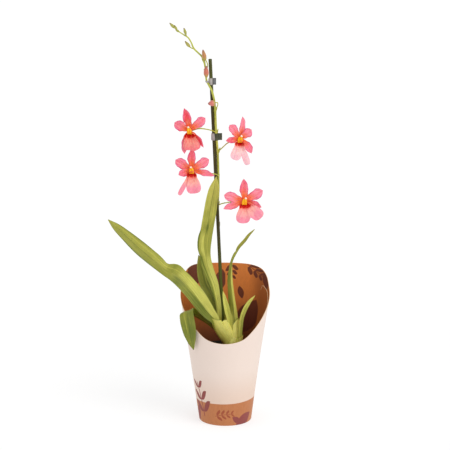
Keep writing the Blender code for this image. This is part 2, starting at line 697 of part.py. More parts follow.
def make_chip(number, draw):
    """One bark chip, laid on a spiral over the core's top."""
    radius = CHIP_SPREAD_R * math.sqrt((number + 0.5) / CHIPS)
    angle = number * math.radians(CHIP_TURN)
    size = [draw.uniform(*limits) * MM for limits in (CHIP_LENGTH, CHIP_WIDTH, CHIP_HEIGHT)]
    turn = Matrix.Rotation(draw.uniform(0, math.tau), 4, "Z")
    turn @= Matrix.Rotation(draw.uniform(-CHIP_TILT, CHIP_TILT), 4, "X")
    z = BARK_TOP + draw.uniform(*CHIP_LIFT)
    turn @= Matrix.Rotation(draw.uniform(-CHIP_TILT, CHIP_TILT), 4, "Y")
    place = Matrix.Translation(Vector((radius * math.cos(angle), radius * math.sin(angle), z)) * MM)
    shape = bmesh.new()
    bmesh.ops.create_cube(shape, size=1)
    bmesh.ops.transform(shape, matrix=place @ turn @ Matrix.Diagonal((*size, 1)), verts=shape.verts)
    mesh = bpy.data.meshes.new("chip")
    shape.to_mesh(mesh)
    shape.free()
    return add(f"chip_{number}", mesh, "bark")


def make_bark():
    """The bark filling: a core with chips laid over its top, trimmed to the pot."""
    foot = BOARD + GAP + POT_FLOOR + GAP
    sides = [(pot_inside_radius(z) - GAP, z) for z in (BARK_TOP, foot)]
    profile = [(0, BARK_TOP), *sides, (0, foot)]
    bark = bake(turned("potting_bark", profile, POT_STEPS, "bark"))
    draw = random.Random(CHIP_SEED)
    keep_largest(unite(bark, [make_chip(i, draw) for i in range(CHIPS)]))
    high = POT_TOP + ROOM_OVER_BARK
    sides = [(pot_inside_radius(z) - GAP, z) for z in (high, 0)]
    profile = [(0, high), *sides, (0, 0)]
    inside = turned("inside_pot", profile, POT_STEPS, "board")
    boolean(bark, inside, "INTERSECT")
    bake(bark)
    bpy.data.objects.remove(inside)
    return bark


def make_stake():
    """The straight support stick with flat ends."""
    return tube("stake", [(*STAKE_FOOT, STAKE_R), (*STAKE_TOP, STAKE_R)], "stake", resolution=4)


def make_leaf(name):
    """One leaf from its hand-placed rows."""
    rows = smooth_rows(LEAVES[name], LEAF_STEPS[name])
    rows[:, 3] = np.maximum(rows[:, 3], 0.5)
    return blade(name, rows, 4, "leaf", LEAF_THICKNESS, wave=LEAF_WAVE.get(name, 0.3))


def make_pseudobulb():
    """The bulb with the fan of sheaths that its leaves grow from."""
    tilt = Matrix.Rotation(math.radians(BULB_TILT), 4, "Y")
    bulb = ball("pseudobulb", BULB_MIDDLE, BULB_SIZE, "bulb", rings=8, segments=14, turn=tilt)
    sheaths = []
    for i, rows in enumerate(SHEATHS):
        sheath = tube(f"sheath_{i + 1}", smooth_rows(rows, 5), "bulb", resolution=3)
        for vertex in sheath.data.vertices:
            middle = np.interp(vertex.co.z / MM, [r[2] for r in rows], [r[1] for r in rows]) * MM
            vertex.co.y = middle + (vertex.co.y - middle) * SHEATH_FLATNESS
        sheaths.append(sheath)
    return unite(bulb, sheaths)


def make_stem():
    """The flower stem with its pedicels and bracts."""
    stem = tube("flower_stem", STEM, "stem", resolution=1)
    extras = [tube("pedicel_" + name, rows, "stem", resolution=1) for name, rows in PEDICELS.items()]
    for i, (joint, point) in enumerate(BRACTS):
        places = [Vector(joint).lerp(Vector(point), t) for t in (0, 0.45, 1)]
        rows = [(*place, radius) for place, radius in zip(places, BRACT_RADII)]
        extras.append(tube(f"bract_{i + 1}", rows, "stem", resolution=0))
    return unite(stem, extras)


def bud_rows(foot, tip, radius):
    """Rows of a bud that swells low and comes to a point."""
    foot, tip = Vector(foot), Vector(tip)
    return [(*foot.lerp(tip, t), radius * share) for t, share in BUD_SHAPE]


def make_buds():
    """The separate buds and the cluster at the stem's tip."""
    for name, (foot, tip, radius) in BUDS.items():
        tube(name, bud_rows(foot, tip, radius), "bud", resolution=2)


def make_tip_buds(stem):
    """The very small buds at the tip, which are still one piece with the stem."""
    buds = enumerate(TIP_BUDS)
    unite(stem, [tube(f"tip_bud_{i}", bud_rows(*row), "stem", resolution=1) for i, row in buds])


def tepal_rows(bloom, tip, bend, half, kind, count):
    """Rows of one tepal, from inside the hub to its tip."""
    middle, tip, bend = Vector(bloom["middle"]), Vector(tip), Vector(bend)
    looks = Vector(bloom["looks"])
    start = tip.normalized() * TEPAL_ROOT
    knee = (start + tip) * 0.5 + bend
    shares = TEPAL_WIDTHS[kind]
    rows = []
    for u in np.linspace(0, 1, count):
        place = middle + start * (1 - u) ** 2 + knee * 2 * u * (1 - u) + tip * u**2
        width = half * np.interp(u, [s[0] for s in shares], [s[1] for s in shares])
        rows.append((*place, width, *looks, TEPAL_FOLD))
    return rows


def lip_reach(bloom, bearing):
    """How far the lip reaches at a bearing from straight down, in degrees."""
    parts = [reach * math.exp(-(((bearing - at) / spread) ** 4)) for at, reach, spread in bloom["lip"]]
    return sum(part**5 for part in parts) ** 0.2


def make_lip(name, bloom, along=5, across=14):
    """The lip: a fan of two lobes from a narrow claw, thrown forward and down."""
    middle = Vector(bloom["middle"])
    low = min(at - spread for at, reach, spread in bloom["lip"]) - LIP_MARGIN
    high = max(at + spread for at, reach, spread in bloom["lip"]) + LIP_MARGIN
    shape = bmesh.new()
    bmesh.ops.create_grid(shape, x_segments=along, y_segments=across, size=0.5)
    for vertex in shape.verts:
        u, v = vertex.co.x + 0.5, vertex.co.y * 2
        bearing = low + (high - low) * (v + 1) / 2
        out = CLAW_R + (lip_reach(bloom, bearing) - REACH_FROM + CLAW[2] - CLAW_R) * u
        spread = math.radians(bearing)
        forward = bloom["throw"] * LIP_BOW * math.sin(min(u * 1.25, 1) * math.pi / 2)
        ruffle = RUFFLE * u**2 * math.sin(RUFFLE_TURNS * v + 0.6)
        way = Vector((out * math.sin(spread), ruffle - forward, -out * math.cos(spread)))
        vertex.co = (middle + Vector(CLAW) + way) * MM
    bmesh.ops.triangulate(shape, faces=shape.faces, quad_method="FIXED")
    mesh = bpy.data.meshes.new(name + "_lip")
    shape.to_mesh(mesh)
    shape.free()
    lip = add(name + "_lip", mesh, "lip")
    solidify = lip.modifiers.new("thickness", "SOLIDIFY")
    solidify.thickness = TEPAL_THICKNESS * MM
    solidify.offset = 0
    return lip


def make_bloom(name):
    """One open bloom: tepals on a hub, a lip and a column."""
    bloom = BLOOMS[name]
    hub = ball(name + "_tepals", bloom["middle"], (HUB_R, HUB_R, HUB_R), "tepal", rings=5, segments=8)
    tepals = []
    for i, tepal in enumerate(bloom["tepals"]):
        rows = tepal_rows(bloom, *tepal, TEPAL_STEPS)
        tepal = blade(f"{name}_tepal_{i + 1}", rows, 4, "tepal", TEPAL_THICKNESS, TEPAL_WAVE)
        tepals.append(bake(tepal))
    unite(hub, tepals)
    make_lip(name, bloom)
    middle = Vector(bloom["middle"])
    tip = Vector(bloom["column"])
    rows = [(*(middle + Vector(COLUMN_FOOT).lerp(tip, t)), radius) for t, radius in COLUMN_SHAPE]
    tube(name + "_column", rows, "column")


def make_clip(name, room_for_stake, room_for_stem):
    """A clip that holds the stem to the stake, with its thumb tab on the right."""
    clip = CLIPS[name]
    x, y, z = clip["middle"]
    low, high = z - clip["height"] / 2, z + clip["height"] / 2
    outer = STAKE_R + CLIP_WALL
    body = tube(name, [(x, y, low, outer), (x, y, high, outer)], "clip", resolution=3)
    held = [row for row in smooth_rows(STEM, 200) if low <= row[2] <= high]
    ends = [(*held[0][:2], low, clip["grip"]), (*held[-1][:2], high, clip["grip"])]
    grip = tube(name + "_grip", ends, "clip", resolution=3)
    shape = bmesh.new()
    bmesh.ops.create_cube(shape, size=1)
    forward, up = TAB_OFFSET
    place = Matrix.Translation(Vector((x + STAKE_R + clip["reach"] / 2, y + forward, z + up)) * MM)
    size = Matrix.Diagonal((clip["reach"] * MM, TAB_THICKNESS * MM, clip["height"] * MM, 1))
    bmesh.ops.transform(shape, matrix=place @ size, verts=shape.verts)
    mesh = bpy.data.meshes.new("tab")
    shape.to_mesh(mesh)
    shape.free()
    unite(body, [grip, add("tab", mesh, "clip")])
    boolean(body, room_for_stake, "DIFFERENCE")
    boolean(body, room_for_stem, "DIFFERENCE", "MANIFOLD")


def shade():
    """Shades the round surfaces smooth and keeps the corners sharp."""
    for item in bpy.data.collections[NAME].objects:
        item.data.shade_smooth()
        item.data.set_sharp_from_angle(angle=math.radians(SHARP_ANGLE))


def main():
    """Builds the whole plant."""
    start_scene()
    make_sleeve()
    make_pot()
    bark = make_bark()
    stake = make_stake()
    stem = make_stem()
    make_tip_buds(stem)
    leaves = [make_leaf(name) for name in LEAVES]
    bulb = make_pseudobulb()
    room_for_stake, room_for_stem = cutter_from(stake), cutter_from(stem)
    for room in (room_for_stake, room_for_stem, cutter_from(bulb)):
        boolean(bark, room, "DIFFERENCE")
    keep_largest(bake(bark))
    for room in [room_for_stake, room_for_stem] + [cutter_from(leaf) for leaf in leaves]:
        boolean(bulb, room, "DIFFERENCE")
    make_buds()
    for name in BLOOMS:
        make_bloom(name)
    for name in CLIPS:
        make_clip(name, room_for_stake, room_for_stem)
    shade()


main()
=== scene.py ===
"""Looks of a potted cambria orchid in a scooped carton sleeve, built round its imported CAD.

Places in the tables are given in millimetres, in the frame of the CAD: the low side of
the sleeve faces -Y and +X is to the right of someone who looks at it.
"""

import math
import random

import bpy
import numpy as np
from mathutils import Matrix, Vector, noise


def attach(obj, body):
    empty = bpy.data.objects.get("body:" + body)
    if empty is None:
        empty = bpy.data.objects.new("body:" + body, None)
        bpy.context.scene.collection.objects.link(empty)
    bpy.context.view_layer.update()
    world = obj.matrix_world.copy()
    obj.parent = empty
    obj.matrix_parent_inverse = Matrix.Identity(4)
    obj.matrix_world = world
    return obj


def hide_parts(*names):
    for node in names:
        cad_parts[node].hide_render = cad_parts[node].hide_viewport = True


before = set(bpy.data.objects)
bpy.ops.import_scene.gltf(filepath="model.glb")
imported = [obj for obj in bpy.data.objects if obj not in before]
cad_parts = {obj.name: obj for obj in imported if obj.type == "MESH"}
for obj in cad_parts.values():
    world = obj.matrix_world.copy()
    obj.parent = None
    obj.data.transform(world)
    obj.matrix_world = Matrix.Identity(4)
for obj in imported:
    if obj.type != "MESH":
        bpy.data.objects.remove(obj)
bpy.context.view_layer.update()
MM = 0.001

# Sleeve: outer radius at the foot, flare, board thickness, and the rim as y and z.
SLEEVE_BASE_R, SLEEVE_FLARE, BOARD = 42.5, 0.148, 0.8
RIM_OUTLINE = [
    (-64, 140.5), (-58, 145.5), (-48, 159), (-25, 184), (0, 203),
    (20, 216), (34, 229), (50, 239), (66, 243), (82, 243.5),
]
# The glued overlap inside: degrees from +X towards +Y, and the height of its top edge.
FLAP_EDGE = [(-12, 170), (0, 188), (7, 197), (15, 206), (25.7, 211.4), (31, 213), (33, 211), (34, 206)]
# The brown band's top edge: degrees round from the front towards +X, and its height.
BAND_TOP = [(-180, 37), (-70, 36.5), (-36, 37.5), (4, 38), (72, 40), (120, 40), (180, 37)]
# How far the board stands inside the straight cone, on average and more on the right, up to a height.
DRAWN_IN, DRAWN_IN_RIGHT, DRAWN_IN_TOP = 1.05, 0.65, 240
# The rim is turned a little, and rises at the back left: where and how widely, and how far.
RIM_TURN, RIM_RISE_AT, RIM_RISE_SPREAD, RIM_RISE = 0.01, 2.42, 0.4, 3.0
# The rolled foot, the raised floor's underside as radius and height, and the floor's top.
FOOT_ROLL, UNDERSIDE, FLOOR_TOP = 1.6, [(0, 2.2), (21, 2.0), (39.1, 1.9), (39.5, 0.2)], 2.9

# The radius that the board is laid flat at, the print's soft edge and how well it covers, how much
# a sprig's leaves shrink towards its tip, and how fine its twig is.
UNROLLED_R, PRINT_EDGE, PRINT_COVER, SPRIG_SHRINK, TWIG_FINENESS = 55.0, 0.12, 0.92, 0.5, 18.0
# Print, in millimetres on the board laid flat, round from the front and up. Sprigs: foot, degrees,
# pitch, pairs of leaves, a leaf's reach and width in pitches, its lean, and the twig's bend.
# Single leaves: middle, degrees, length and width.
PLUM_SPRIGS = [
    ((-46, 11), 96, 20, 3, 1.4, 0.36, 50, 0.03), ((112, 24), 84, 18, 4, 1.15, 0.56, 48, -0.04),
    ((-120, 30), 94, 17, 3, 1.2, 0.6, 48, 0.05),
]
PLUM_LEAVES = [
    ((40, 6), 30, 46, 24), ((24, 9), 150, 24, 11), ((-68, 14), 70, 34, 15), ((-146, 18), 104, 36, 16),
]
RUST_SPRIGS = [
    ((-21, 16), 14, 9.5, 4, 1.35, 0.38, 52, -0.03), ((86, 12), 66, 7.4, 3, 1.2, 0.38, 52, 0.05),
    ((160, 10), 100, 7, 4, 1.2, 0.36, 52, 0.0),
]
DARK_SPRIGS = [
    ((-112, 247), -122, 10, 3, 1.4, 0.4, 48, 0.05), ((166, 243), -100, 8.4, 3, 1.3, 0.5, 50, 0.04),
    ((146, 243), -140, 10, 5, 1.5, 0.5, 46, -0.05), ((-30, 112), 80, 10, 3, 1.3, 0.4, 50, 0.0),
]
DARK_LEAVES = [
    ((138, 158), 112, 66, 38), ((-130, 226), -78, 46, 26), ((-146, 168), 100, 44, 20),
    ((152, 196), 76, 22, 9), ((-166, 214), -80, 40, 17), ((112, 222), 60, 30, 14),
]

# Stake, grow pot and bark.
STAKE_R = 2.75
STAKE_FOOT, STAKE_TOP = (2.8, 6.0, 8.0), (-23.8, 6.0, 584.0)
POT_TOP, POT_RIM_Z, POT_FOOT_R, POT_WALL, POT_RIB, POT_FLOOR_Z = 116.0, 108.0, 38.8, 1.1, 0.35, 3
BARK_TOP, BARK_CHIPS, BARK_R, BARK_SEED, CHIP_TILT, GOLDEN_ANGLE = 103.0, 190, 49.5, 4, 0.4, 137.5

# Flower stem: rows of x, y, z and radius.
STEM = [
    (9, -5, 104, 2.6), (7, 2, 118, 2.5), (2.4, 9, 140, 2.3), (-0.6, 10.2, 165, 2.1),
    (-2.6, 11, 189, 2.0), (-6.6, 11.4, 222, 2.0), (-8.8, 11.4, 262, 1.95), (-10.3, 11.4, 303, 1.95),
    (-12, 11.4, 336, 1.9), (-12, 11.2, 352, 1.9), (-11, 10.4, 377, 1.9), (-11.2, 9, 400, 2.0),
    (-12.3, 7.2, 438, 1.95), (-13.6, 4.2, 457, 1.9), (-14.6, 3.2, 471, 1.85), (-15.6, 3.6, 497, 1.8),
    (-16.2, 2.8, 508, 1.75), (-18, 1.4, 523, 1.6), (-21.4, 0.9, 535, 1.6), (-25.6, 1.4, 543, 1.55),
    (-29, 3.2, 549, 1.5), (-30.5, 4.4, 560, 1.45), (-31.5, 4.6, 571, 1.45), (-33.5, 4.4, 581, 1.5),
    (-37, 4, 588, 1.4), (-43, 3.4, 594, 1.3), (-49, 3, 600, 1.4), (-53, 2.8, 609, 1.2),
    (-58, 2.6, 617, 1.2), (-65, 2.4, 621.5, 1.0), (-72, 2.2, 626, 1.0), (-79, 2, 632, 0.9),
]
# Pedicels: rows of x, y, z, radius, and the colour at the far end, 0 green to 1 reddish.
PEDICELS = [
    ([(-14, 3.2, 468.6, 1.0), (-19, -0.8, 471.4, 0.9), (-29, -7, 474.6, 0.9),
      (-42, -13, 476.4, 1.2), (-53.5, -17.3, 474, 1.7)], 0.35),
    ([(-10.8, 8.8, 398, 1.0), (-11, 4.4, 399.4, 0.9), (-15, -1.4, 402.6, 0.9),
      (-31, -9, 405.6, 1.2), (-50.6, -15.9, 411.3, 1.7)], 0.5),
    ([(-11.2, 7.2, 438, 1.0), (-4, 4.5, 445, 0.9), (3, -2, 452, 0.9),
      (12, -10, 457.5, 1.2), (20.9, -17, 461, 1.7)], 1.0),
    ([(-12, 11.2, 351, 1.0), (-6, 10.6, 353.5, 0.9), (3, 4, 356.5, 0.9),
      (15, -7, 360, 1.2), (27.9, -17, 363, 1.7)], 0.2),
    ([(-58, 2.6, 617, 1.0), (-60.4, 1.8, 619.6, 0.8), (-61.1, 1.1, 621.5, 0.8)], 0.0),
    ([(-49, 3, 600, 1.0), (-52.2, 1, 600.6, 0.8), (-54.9, -1, 602.4, 0.8)], 0.0),
    ([(-31, 4.6, 566, 1.0), (-27.6, 5, 573, 0.8), (-29.4, 3, 580, 0.8), (-31.7, 0.7, 584.2, 0.9)], 0.2),
    ([(-29.4, 3.6, 550.5, 1.0), (-29, 1.2, 552, 0.8), (-29.6, -2.2, 555.4, 0.9)], 0.3),
    ([(-15.4, 3, 505, 1.0), (-12.2, 1.4, 511, 0.8), (-12.2, -2.4, 516, 0.8),
      (-15.5, -5.2, 516.4, 0.9)], 0.3),
]
# Bracts: foot, on a swollen joint of the stem, and tip.
BRACTS = [
    ((-14, 3.2, 466.5), (-11, 1.2, 475)), ((-10.8, 9, 400), (-13.8, 11, 409)),
    ((-11.2, 7.2, 436), (-8, 7.8, 445)), ((-12, 11.2, 349), (-9, 13.2, 358)),
    ((-15.4, 3.1, 503), (-12.6, 4.6, 510)), ((-30.8, 4.5, 562), (-33.8, 5.2, 569)),
    ((-33.4, 4.4, 580), (-37, 4.6, 585)), ((-8.6, 11.4, 255), (-10.6, 14, 267)),
    ((-10.8, 11.4, 312), (-8.6, 13.8, 324)),
]
# Buds: foot, tip, greatest radius and colour, 0 green to 1 pink.
BUDS = {
    "bud_1": ((-61.1, 1.1, 621.5), (-64.6, 0.6, 632.5), 2.2, 0.0),
    "bud_2": ((-54.9, -1.0, 602.4), (-63, -2.4, 612), 2.5, 0.1),
    "bud_3": ((-31.3, 0.9, 581.6), (-35, -0.4, 599), 3.3, 0.36),
    "bud_4": ((-29.6, -2.2, 555.4), (-29.8, -4.6, 574), 3.9, 0.7),
    "bud_5": ((-15.5, -5.2, 516.4), (-27.4, -5.6, 514.6), 4.6, 1.0),
}
# Small buds at the stem's tip: foot, tip and greatest radius.
TIP_BUDS = [
    ((-78.6, 2, 631.6), (-87, 1.6, 640), 2.3), ((-75.4, 2.1, 628.6), (-79.4, 0.4, 636.6), 2.0),
    ((-72, 2.2, 626), (-77.6, 1.6, 629.6), 1.9),
]
# A bud's radius from foot to tip, as shares of its greatest.
BUD_SHAPE = [(0, 0.35), (0.12, 0.7), (0.32, 1.0), (0.55, 0.92), (0.78, 0.6), (0.93, 0.3), (1, 0.04)]

# Leaves: rows of x, y, z, half width, facing (x, y, z) and fold in degrees.
LEAVES = {
    "leaf_long": [
        (-9.5, -14, 146, 4.2, 0.3, -0.9, 0.2, 28), (-12.6, -14, 156, 5.8, 0.3, -0.9, 0.2, 28),
        (-17, -14.2, 167.4, 8.2, 0.3, -0.9, 0.25, 26), (-28.4, -15, 181.2, 12, 0.3, -0.88, 0.3, 22),
        (-41.3, -15.5, 198.8, 14.4, 0.3, -0.86, 0.36, 20),
        (-56.9, -16, 219.9, 14.8, 0.3, -0.86, 0.36, 16), (-71.5, -15.5, 236, 14.8, 0.3, -0.86, 0.36, 14),
        (-84.5, -14.5, 245.6, 13.8, 0.3, -0.86, 0.36, 16),
        (-93.5, -13, 249.4, 12.2, 0.3, -0.86, 0.36, 20),
        (-115.8, -10.5, 266.6, 12.4, 0.3, -0.86, 0.36, 20),
        (-138.1, -8.5, 285.3, 12.0, 0.3, -0.87, 0.34, 20), (-158.5, -6, 304, 9.4, 0.3, -0.88, 0.3, 18),
        (-175.5, -3, 319.3, 5.8, 0.28, -0.9, 0.25, 12), (-187, 0, 329.5, 0.6, 0.28, -0.9, 0.25, 0),
    ],
    "leaf_drooping": [
        (-12.6, -7, 148.6, 4.2, 0.3, 0.9, 0.3, 16), (-20.6, -7, 157.6, 6, 0.3, 0.9, 0.3, 14),
        (-31.8, -7, 166.5, 7.4, 0.3, 0.85, 0.4, 10), (-41.4, -9, 172.8, 8.4, 0.3, 0.8, 0.5, 8),
        (-49.3, -16, 178, 9.3, 0.1, 0.6, 0.8, 6), (-54, -26.5, 186.4, 8, -0.2, 0.3, 0.9, 6),
        (-59.2, -36.5, 188.6, 11.2, -0.4, 0, 0.9, 6), (-60.6, -42, 185.4, 12.4, -0.45, -0.55, 0.7, 8),
        (-59.5, -45, 177.7, 13, -0.45, -0.85, 0.2, 10), (-57.1, -46.5, 165.1, 12.7, -0.45, -0.89, 0, 10),
        (-54.8, -46.2, 149.5, 10.2, -0.45, -0.89, 0, 9), (-52.9, -44.8, 136.9, 5.7, -0.45, -0.89, 0, 6),
        (-50.4, -43.4, 127.2, 0.8, -0.45, -0.89, 0, 0),
    ],
    "leaf_tall": [
        (-8.8, -2, 150, 3.2, 0.1, -0.98, 0, 28), (-9.6, -2, 168.6, 3.9, 0.1, -0.98, 0, 24),
        (-10.8, -2, 188.5, 4.6, 0.1, -0.98, 0, 20), (-14.2, -2, 208.3, 5.9, 0.1, -0.98, 0, 18),
        (-18.5, -2.4, 226.5, 7.3, 0, -0.98, 0.1, 16), (-23.6, -3, 240.6, 8.1, -0.05, -0.98, 0.1, 14),
        (-28.7, -3.4, 256.3, 8.6, -0.1, -0.97, 0.1, 14), (-31.4, -3.8, 271.1, 8.9, -0.2, -0.95, 0.1, 14),
        (-34, -4, 287.4, 11.3, 0.1, -0.95, 0.1, 16), (-33.2, -4.2, 301.3, 12.1, 0.3, -0.93, 0.1, 16),
        (-30.4, -4.2, 311.8, 10.9, 0.3, -0.93, 0.1, 14), (-27.6, -4.4, 325.6, 10.3, 0.2, -0.95, 0.1, 10),
        (-24.8, -4.4, 340.2, 10.1, 0.1, -0.98, 0.1, 8), (-21.6, -4.4, 360.3, 9.5, 0, -0.99, 0.1, 8),
        (-17.4, -4.2, 381.1, 7.7, 0, -0.99, 0.1, 6), (-14, -4, 399.5, 0.6, 0, -0.99, 0.1, 0),
    ],
    "leaf_behind": [
        (-8.6, 2.4, 144, 3.4, 0, -0.99, 0, 24), (-11, 2.8, 162, 4.2, 0.1, -0.98, 0.1, 20),
        (-15.5, 3.4, 184, 5.7, 0.2, -0.96, 0.1, 18), (-23.6, 5, 205, 8, 0.25, -0.94, 0.1, 18),
        (-32.6, 8, 222.6, 9.6, 0.25, -0.94, 0.1, 16), (-37.5, 11, 241.8, 9, 0.25, -0.94, 0.1, 14),
        (-41.2, 13, 257.9, 4.6, 0.25, -0.94, 0.1, 10), (-43, 13.4, 269, 0.6, 0.25, -0.94, 0.1, 0),
    ],
    "leaf_folded": [
        (14.2, -7, 144, 5.4, -0.2, 0.95, 0, 12), (14.3, -6.8, 166.4, 7.5, -0.2, 0.95, 0, 26),
        (13, -6.6, 186.3, 8.7, -0.2, 0.95, 0, 45), (10.6, -6.4, 209.3, 8, -0.2, 0.95, 0, 52),
        (8.7, -6, 233.9, 7, -0.2, 0.95, 0, 54), (9.3, -5.4, 249.4, 4.8, -0.25, 0.93, 0, 54),
        (11.1, -4.6, 261.5, 3.2, -0.5, 0.8, 0, 50), (15.8, -4, 272.6, 3.6, -0.75, 0.4, 0.3, 44),
        (22.4, -3, 283.5, 4.8, -0.7, -0.4, 0.5, 34), (31.6, -1, 294.6, 4.1, -0.6, -0.6, 0.6, 26),
        (39.4, 1, 305.4, 2.9, -0.6, -0.6, 0.6, 20), (46.8, 3, 313.4, 0.5, -0.6, -0.6, 0.6, 0),
    ],
    "leaf_short": [
        (8.2, -11, 148, 4.2, 0, -1, 0, 34), (6.6, -11, 168.5, 5.3, 0.1, -0.98, 0, 36),
        (2.9, -10.6, 184.4, 5.6, 0.1, -0.98, 0, 36), (-0.7, -10, 200.3, 3.9, 0.1, -0.98, 0, 30),
        (-3.8, -9, 214.6, 0.5, 0.1, -0.98, 0, 0),
    ],
    "leaf_small": [
        (24, -15, 132, 3, 0, -1, 0, 34), (24.3, -15, 153, 3.9, 0, -1, 0, 34),
        (25.9, -15, 170.2, 4, 0.1, -0.98, 0, 30), (30.4, -15, 185, 4.1, 0.2, -0.95, 0, 28),
        (38.1, -15, 198.2, 3.1, 0.2, -0.95, 0, 20), (47.4, -15, 208.6, 0.5, 0.2, -0.95, 0, 0),
    ],
}
# Each leaf: grid along and across, wave, veins, how sharply it folds (1 is a crease), and its tone
# as rows of the way along, then the half that turns to -v and the half that turns to +v.
# Tone 0 is deep green, 0.5 plain, 1 pale yellow-green. The tones mix the leaf's own colour with
# painted light and shade: lighter on halves that face the light, darker on halves in shade.
LEAF_LOOKS = {
    "leaf_long": (180, 61, 0.9, 9, 1.15, [
        (0, 0.95, 0.3), (0.1, 0.95, 0.1), (0.24, 0.9, 0.1), (0.34, 0.85, 0.22), (0.44, 0.72, 0.18),
        (0.49, 0.3, 0.35), (0.54, 0.7, 0.35), (0.8, 0.62, 0.38), (1, 0.6, 0.4)]),
    "leaf_drooping": (140, 57, 0.7, 8, 1.3, [
        (0, 0.2, 0.1), (0.3, 0.3, 0.15), (0.45, 0.0, 0.0), (0.52, 0.3, 0.25), (0.7, 0.2, 0.15),
        (1, 0.15, 0.1)]),
    "leaf_tall": (150, 49, 0.4, 7, 1.3, [
        (0, 0.9, 0.9), (0.3, 0.95, 0.9), (0.45, 0.85, 0.66), (0.52, 0.5, 0.88), (0.6, 0.5, 0.82),
        (0.7, 0.45, 0.65), (0.76, 0.68, 0.54), (0.85, 0.62, 0.72), (1, 0.8, 0.8)]),
    "leaf_behind": (80, 41, 0.3, 6, 1.4, [(0, 0.1, 0.2), (0.6, 0.12, 0.26), (1, 0.36, 0.36)]),
    "leaf_folded": (120, 49, 0.3, 5, 1.05, [
        (0, 1.1, 1.1), (0.14, 1.0, 1.1), (0.26, 0.35, 1.1), (0.5, 0.25, 1.0), (0.7, 0.35, 0.6),
        (1, 0.6, 0.6)]),
    "leaf_short": (60, 33, 0.3, 4, 1.2, [(0, 0.85, 0.95), (1, 0.95, 0.9)]),
    "leaf_small": (70, 33, 0.3, 4, 1.1, [(0, 0.85, 0.95), (0.5, 0.6, 0.9), (1, 0.8, 0.9)]),
}
# Painted shade on a leaf, in its folds and along its edges: the way along and across, how dark, and
# spread along and across.
LEAF_FOLD_SHADES = {
    "leaf_long": [
        (0.12, 0.17, 1.3, 0.1, 0.1), (0.8, -1.0, 0.55, 0.24, 0.14), (0.8, 1.0, 0.55, 0.24, 0.16)],
    "leaf_tall": [
        (0.34, 0.85, 1.5, 0.17, 0.34), (0.6, 1.0, 1.0, 0.06, 0.2), (0.67, 0.1, 0.45, 0.03, 0.5)],
}
# Swellings of a leaf's edge: the way along, side, how far out and up in millimetres, and spread.
LEAF_BUCKLES = {
    "leaf_long": [(0.475, -1, 2.2, 2.0, 0.03), (0.55, -1, -1.0, -1.2, 0.025)],
    "leaf_tall": [(0.46, 1, 0.8, -1.6, 0.04)],
}
# A leaf's thickness, its least half width, and how widely the tones of its halves blend.
LEAF_THICKNESS, LEAF_LEAST_HALF, LEAF_BLEND = 1.0, 0.35, 0.16

BULB_MIDDLE, BULB_SIZE, BULB_TILT = (13, -11, 113), (15, 11, 31), -8
# Sheaths: rows of x, y, z and radius; which way the mouth stands highest and by how much; tone,
# which mixes the sheath's colour with painted light and shade, lighter on the lit right and darker
# behind.
SHEATHS = [
    ([(12.5, -12, 112, 9.5), (5, -13, 134, 9.4), (-4, -14, 147, 9.6), (-10.6, -14, 158, 9),
      (-15.5, -14, 170.5, 7)], (-1, 0, 0), 4.5, 0.7),
    ([(12, -6, 112, 10), (2, -4, 134, 9), (-6.6, -2.5, 150, 7), (-9.4, -1.8, 160, 5.6)],
     (-1, 0, 0), 4.0, 0.3),
    ([(14, -10, 112, 12), (15, -9, 138, 10.4), (14.6, -7.8, 152, 8.8), (14.4, -7.4, 163, 7.2)],
     (1, 0, 0), 7.0, 1.0),
    ([(11, -11, 120, 9), (6, -11.6, 144, 8.6), (0.5, -11.6, 158, 7.2), (-1.8, -11.4, 165.5, 6)],
     (0.4, -1, 0), 3.0, 0.9),
    ([(18, -13, 112, 7), (21.6, -14.4, 130, 5.6), (23.6, -15, 141, 4.8)], (1, 0, 0), 4.0, 1.0),
]
# Sheath flatness, ribs and rib depth, and the tone of its mouth: painted shade inside the mouth and on
# its edge.
SHEATH_FLATNESS, SHEATH_RIBS, SHEATH_RIB, SHEATH_MOUTH_SHADE = 0.62, 9, 0.12, -0.5
BULB_TONE = 0.75

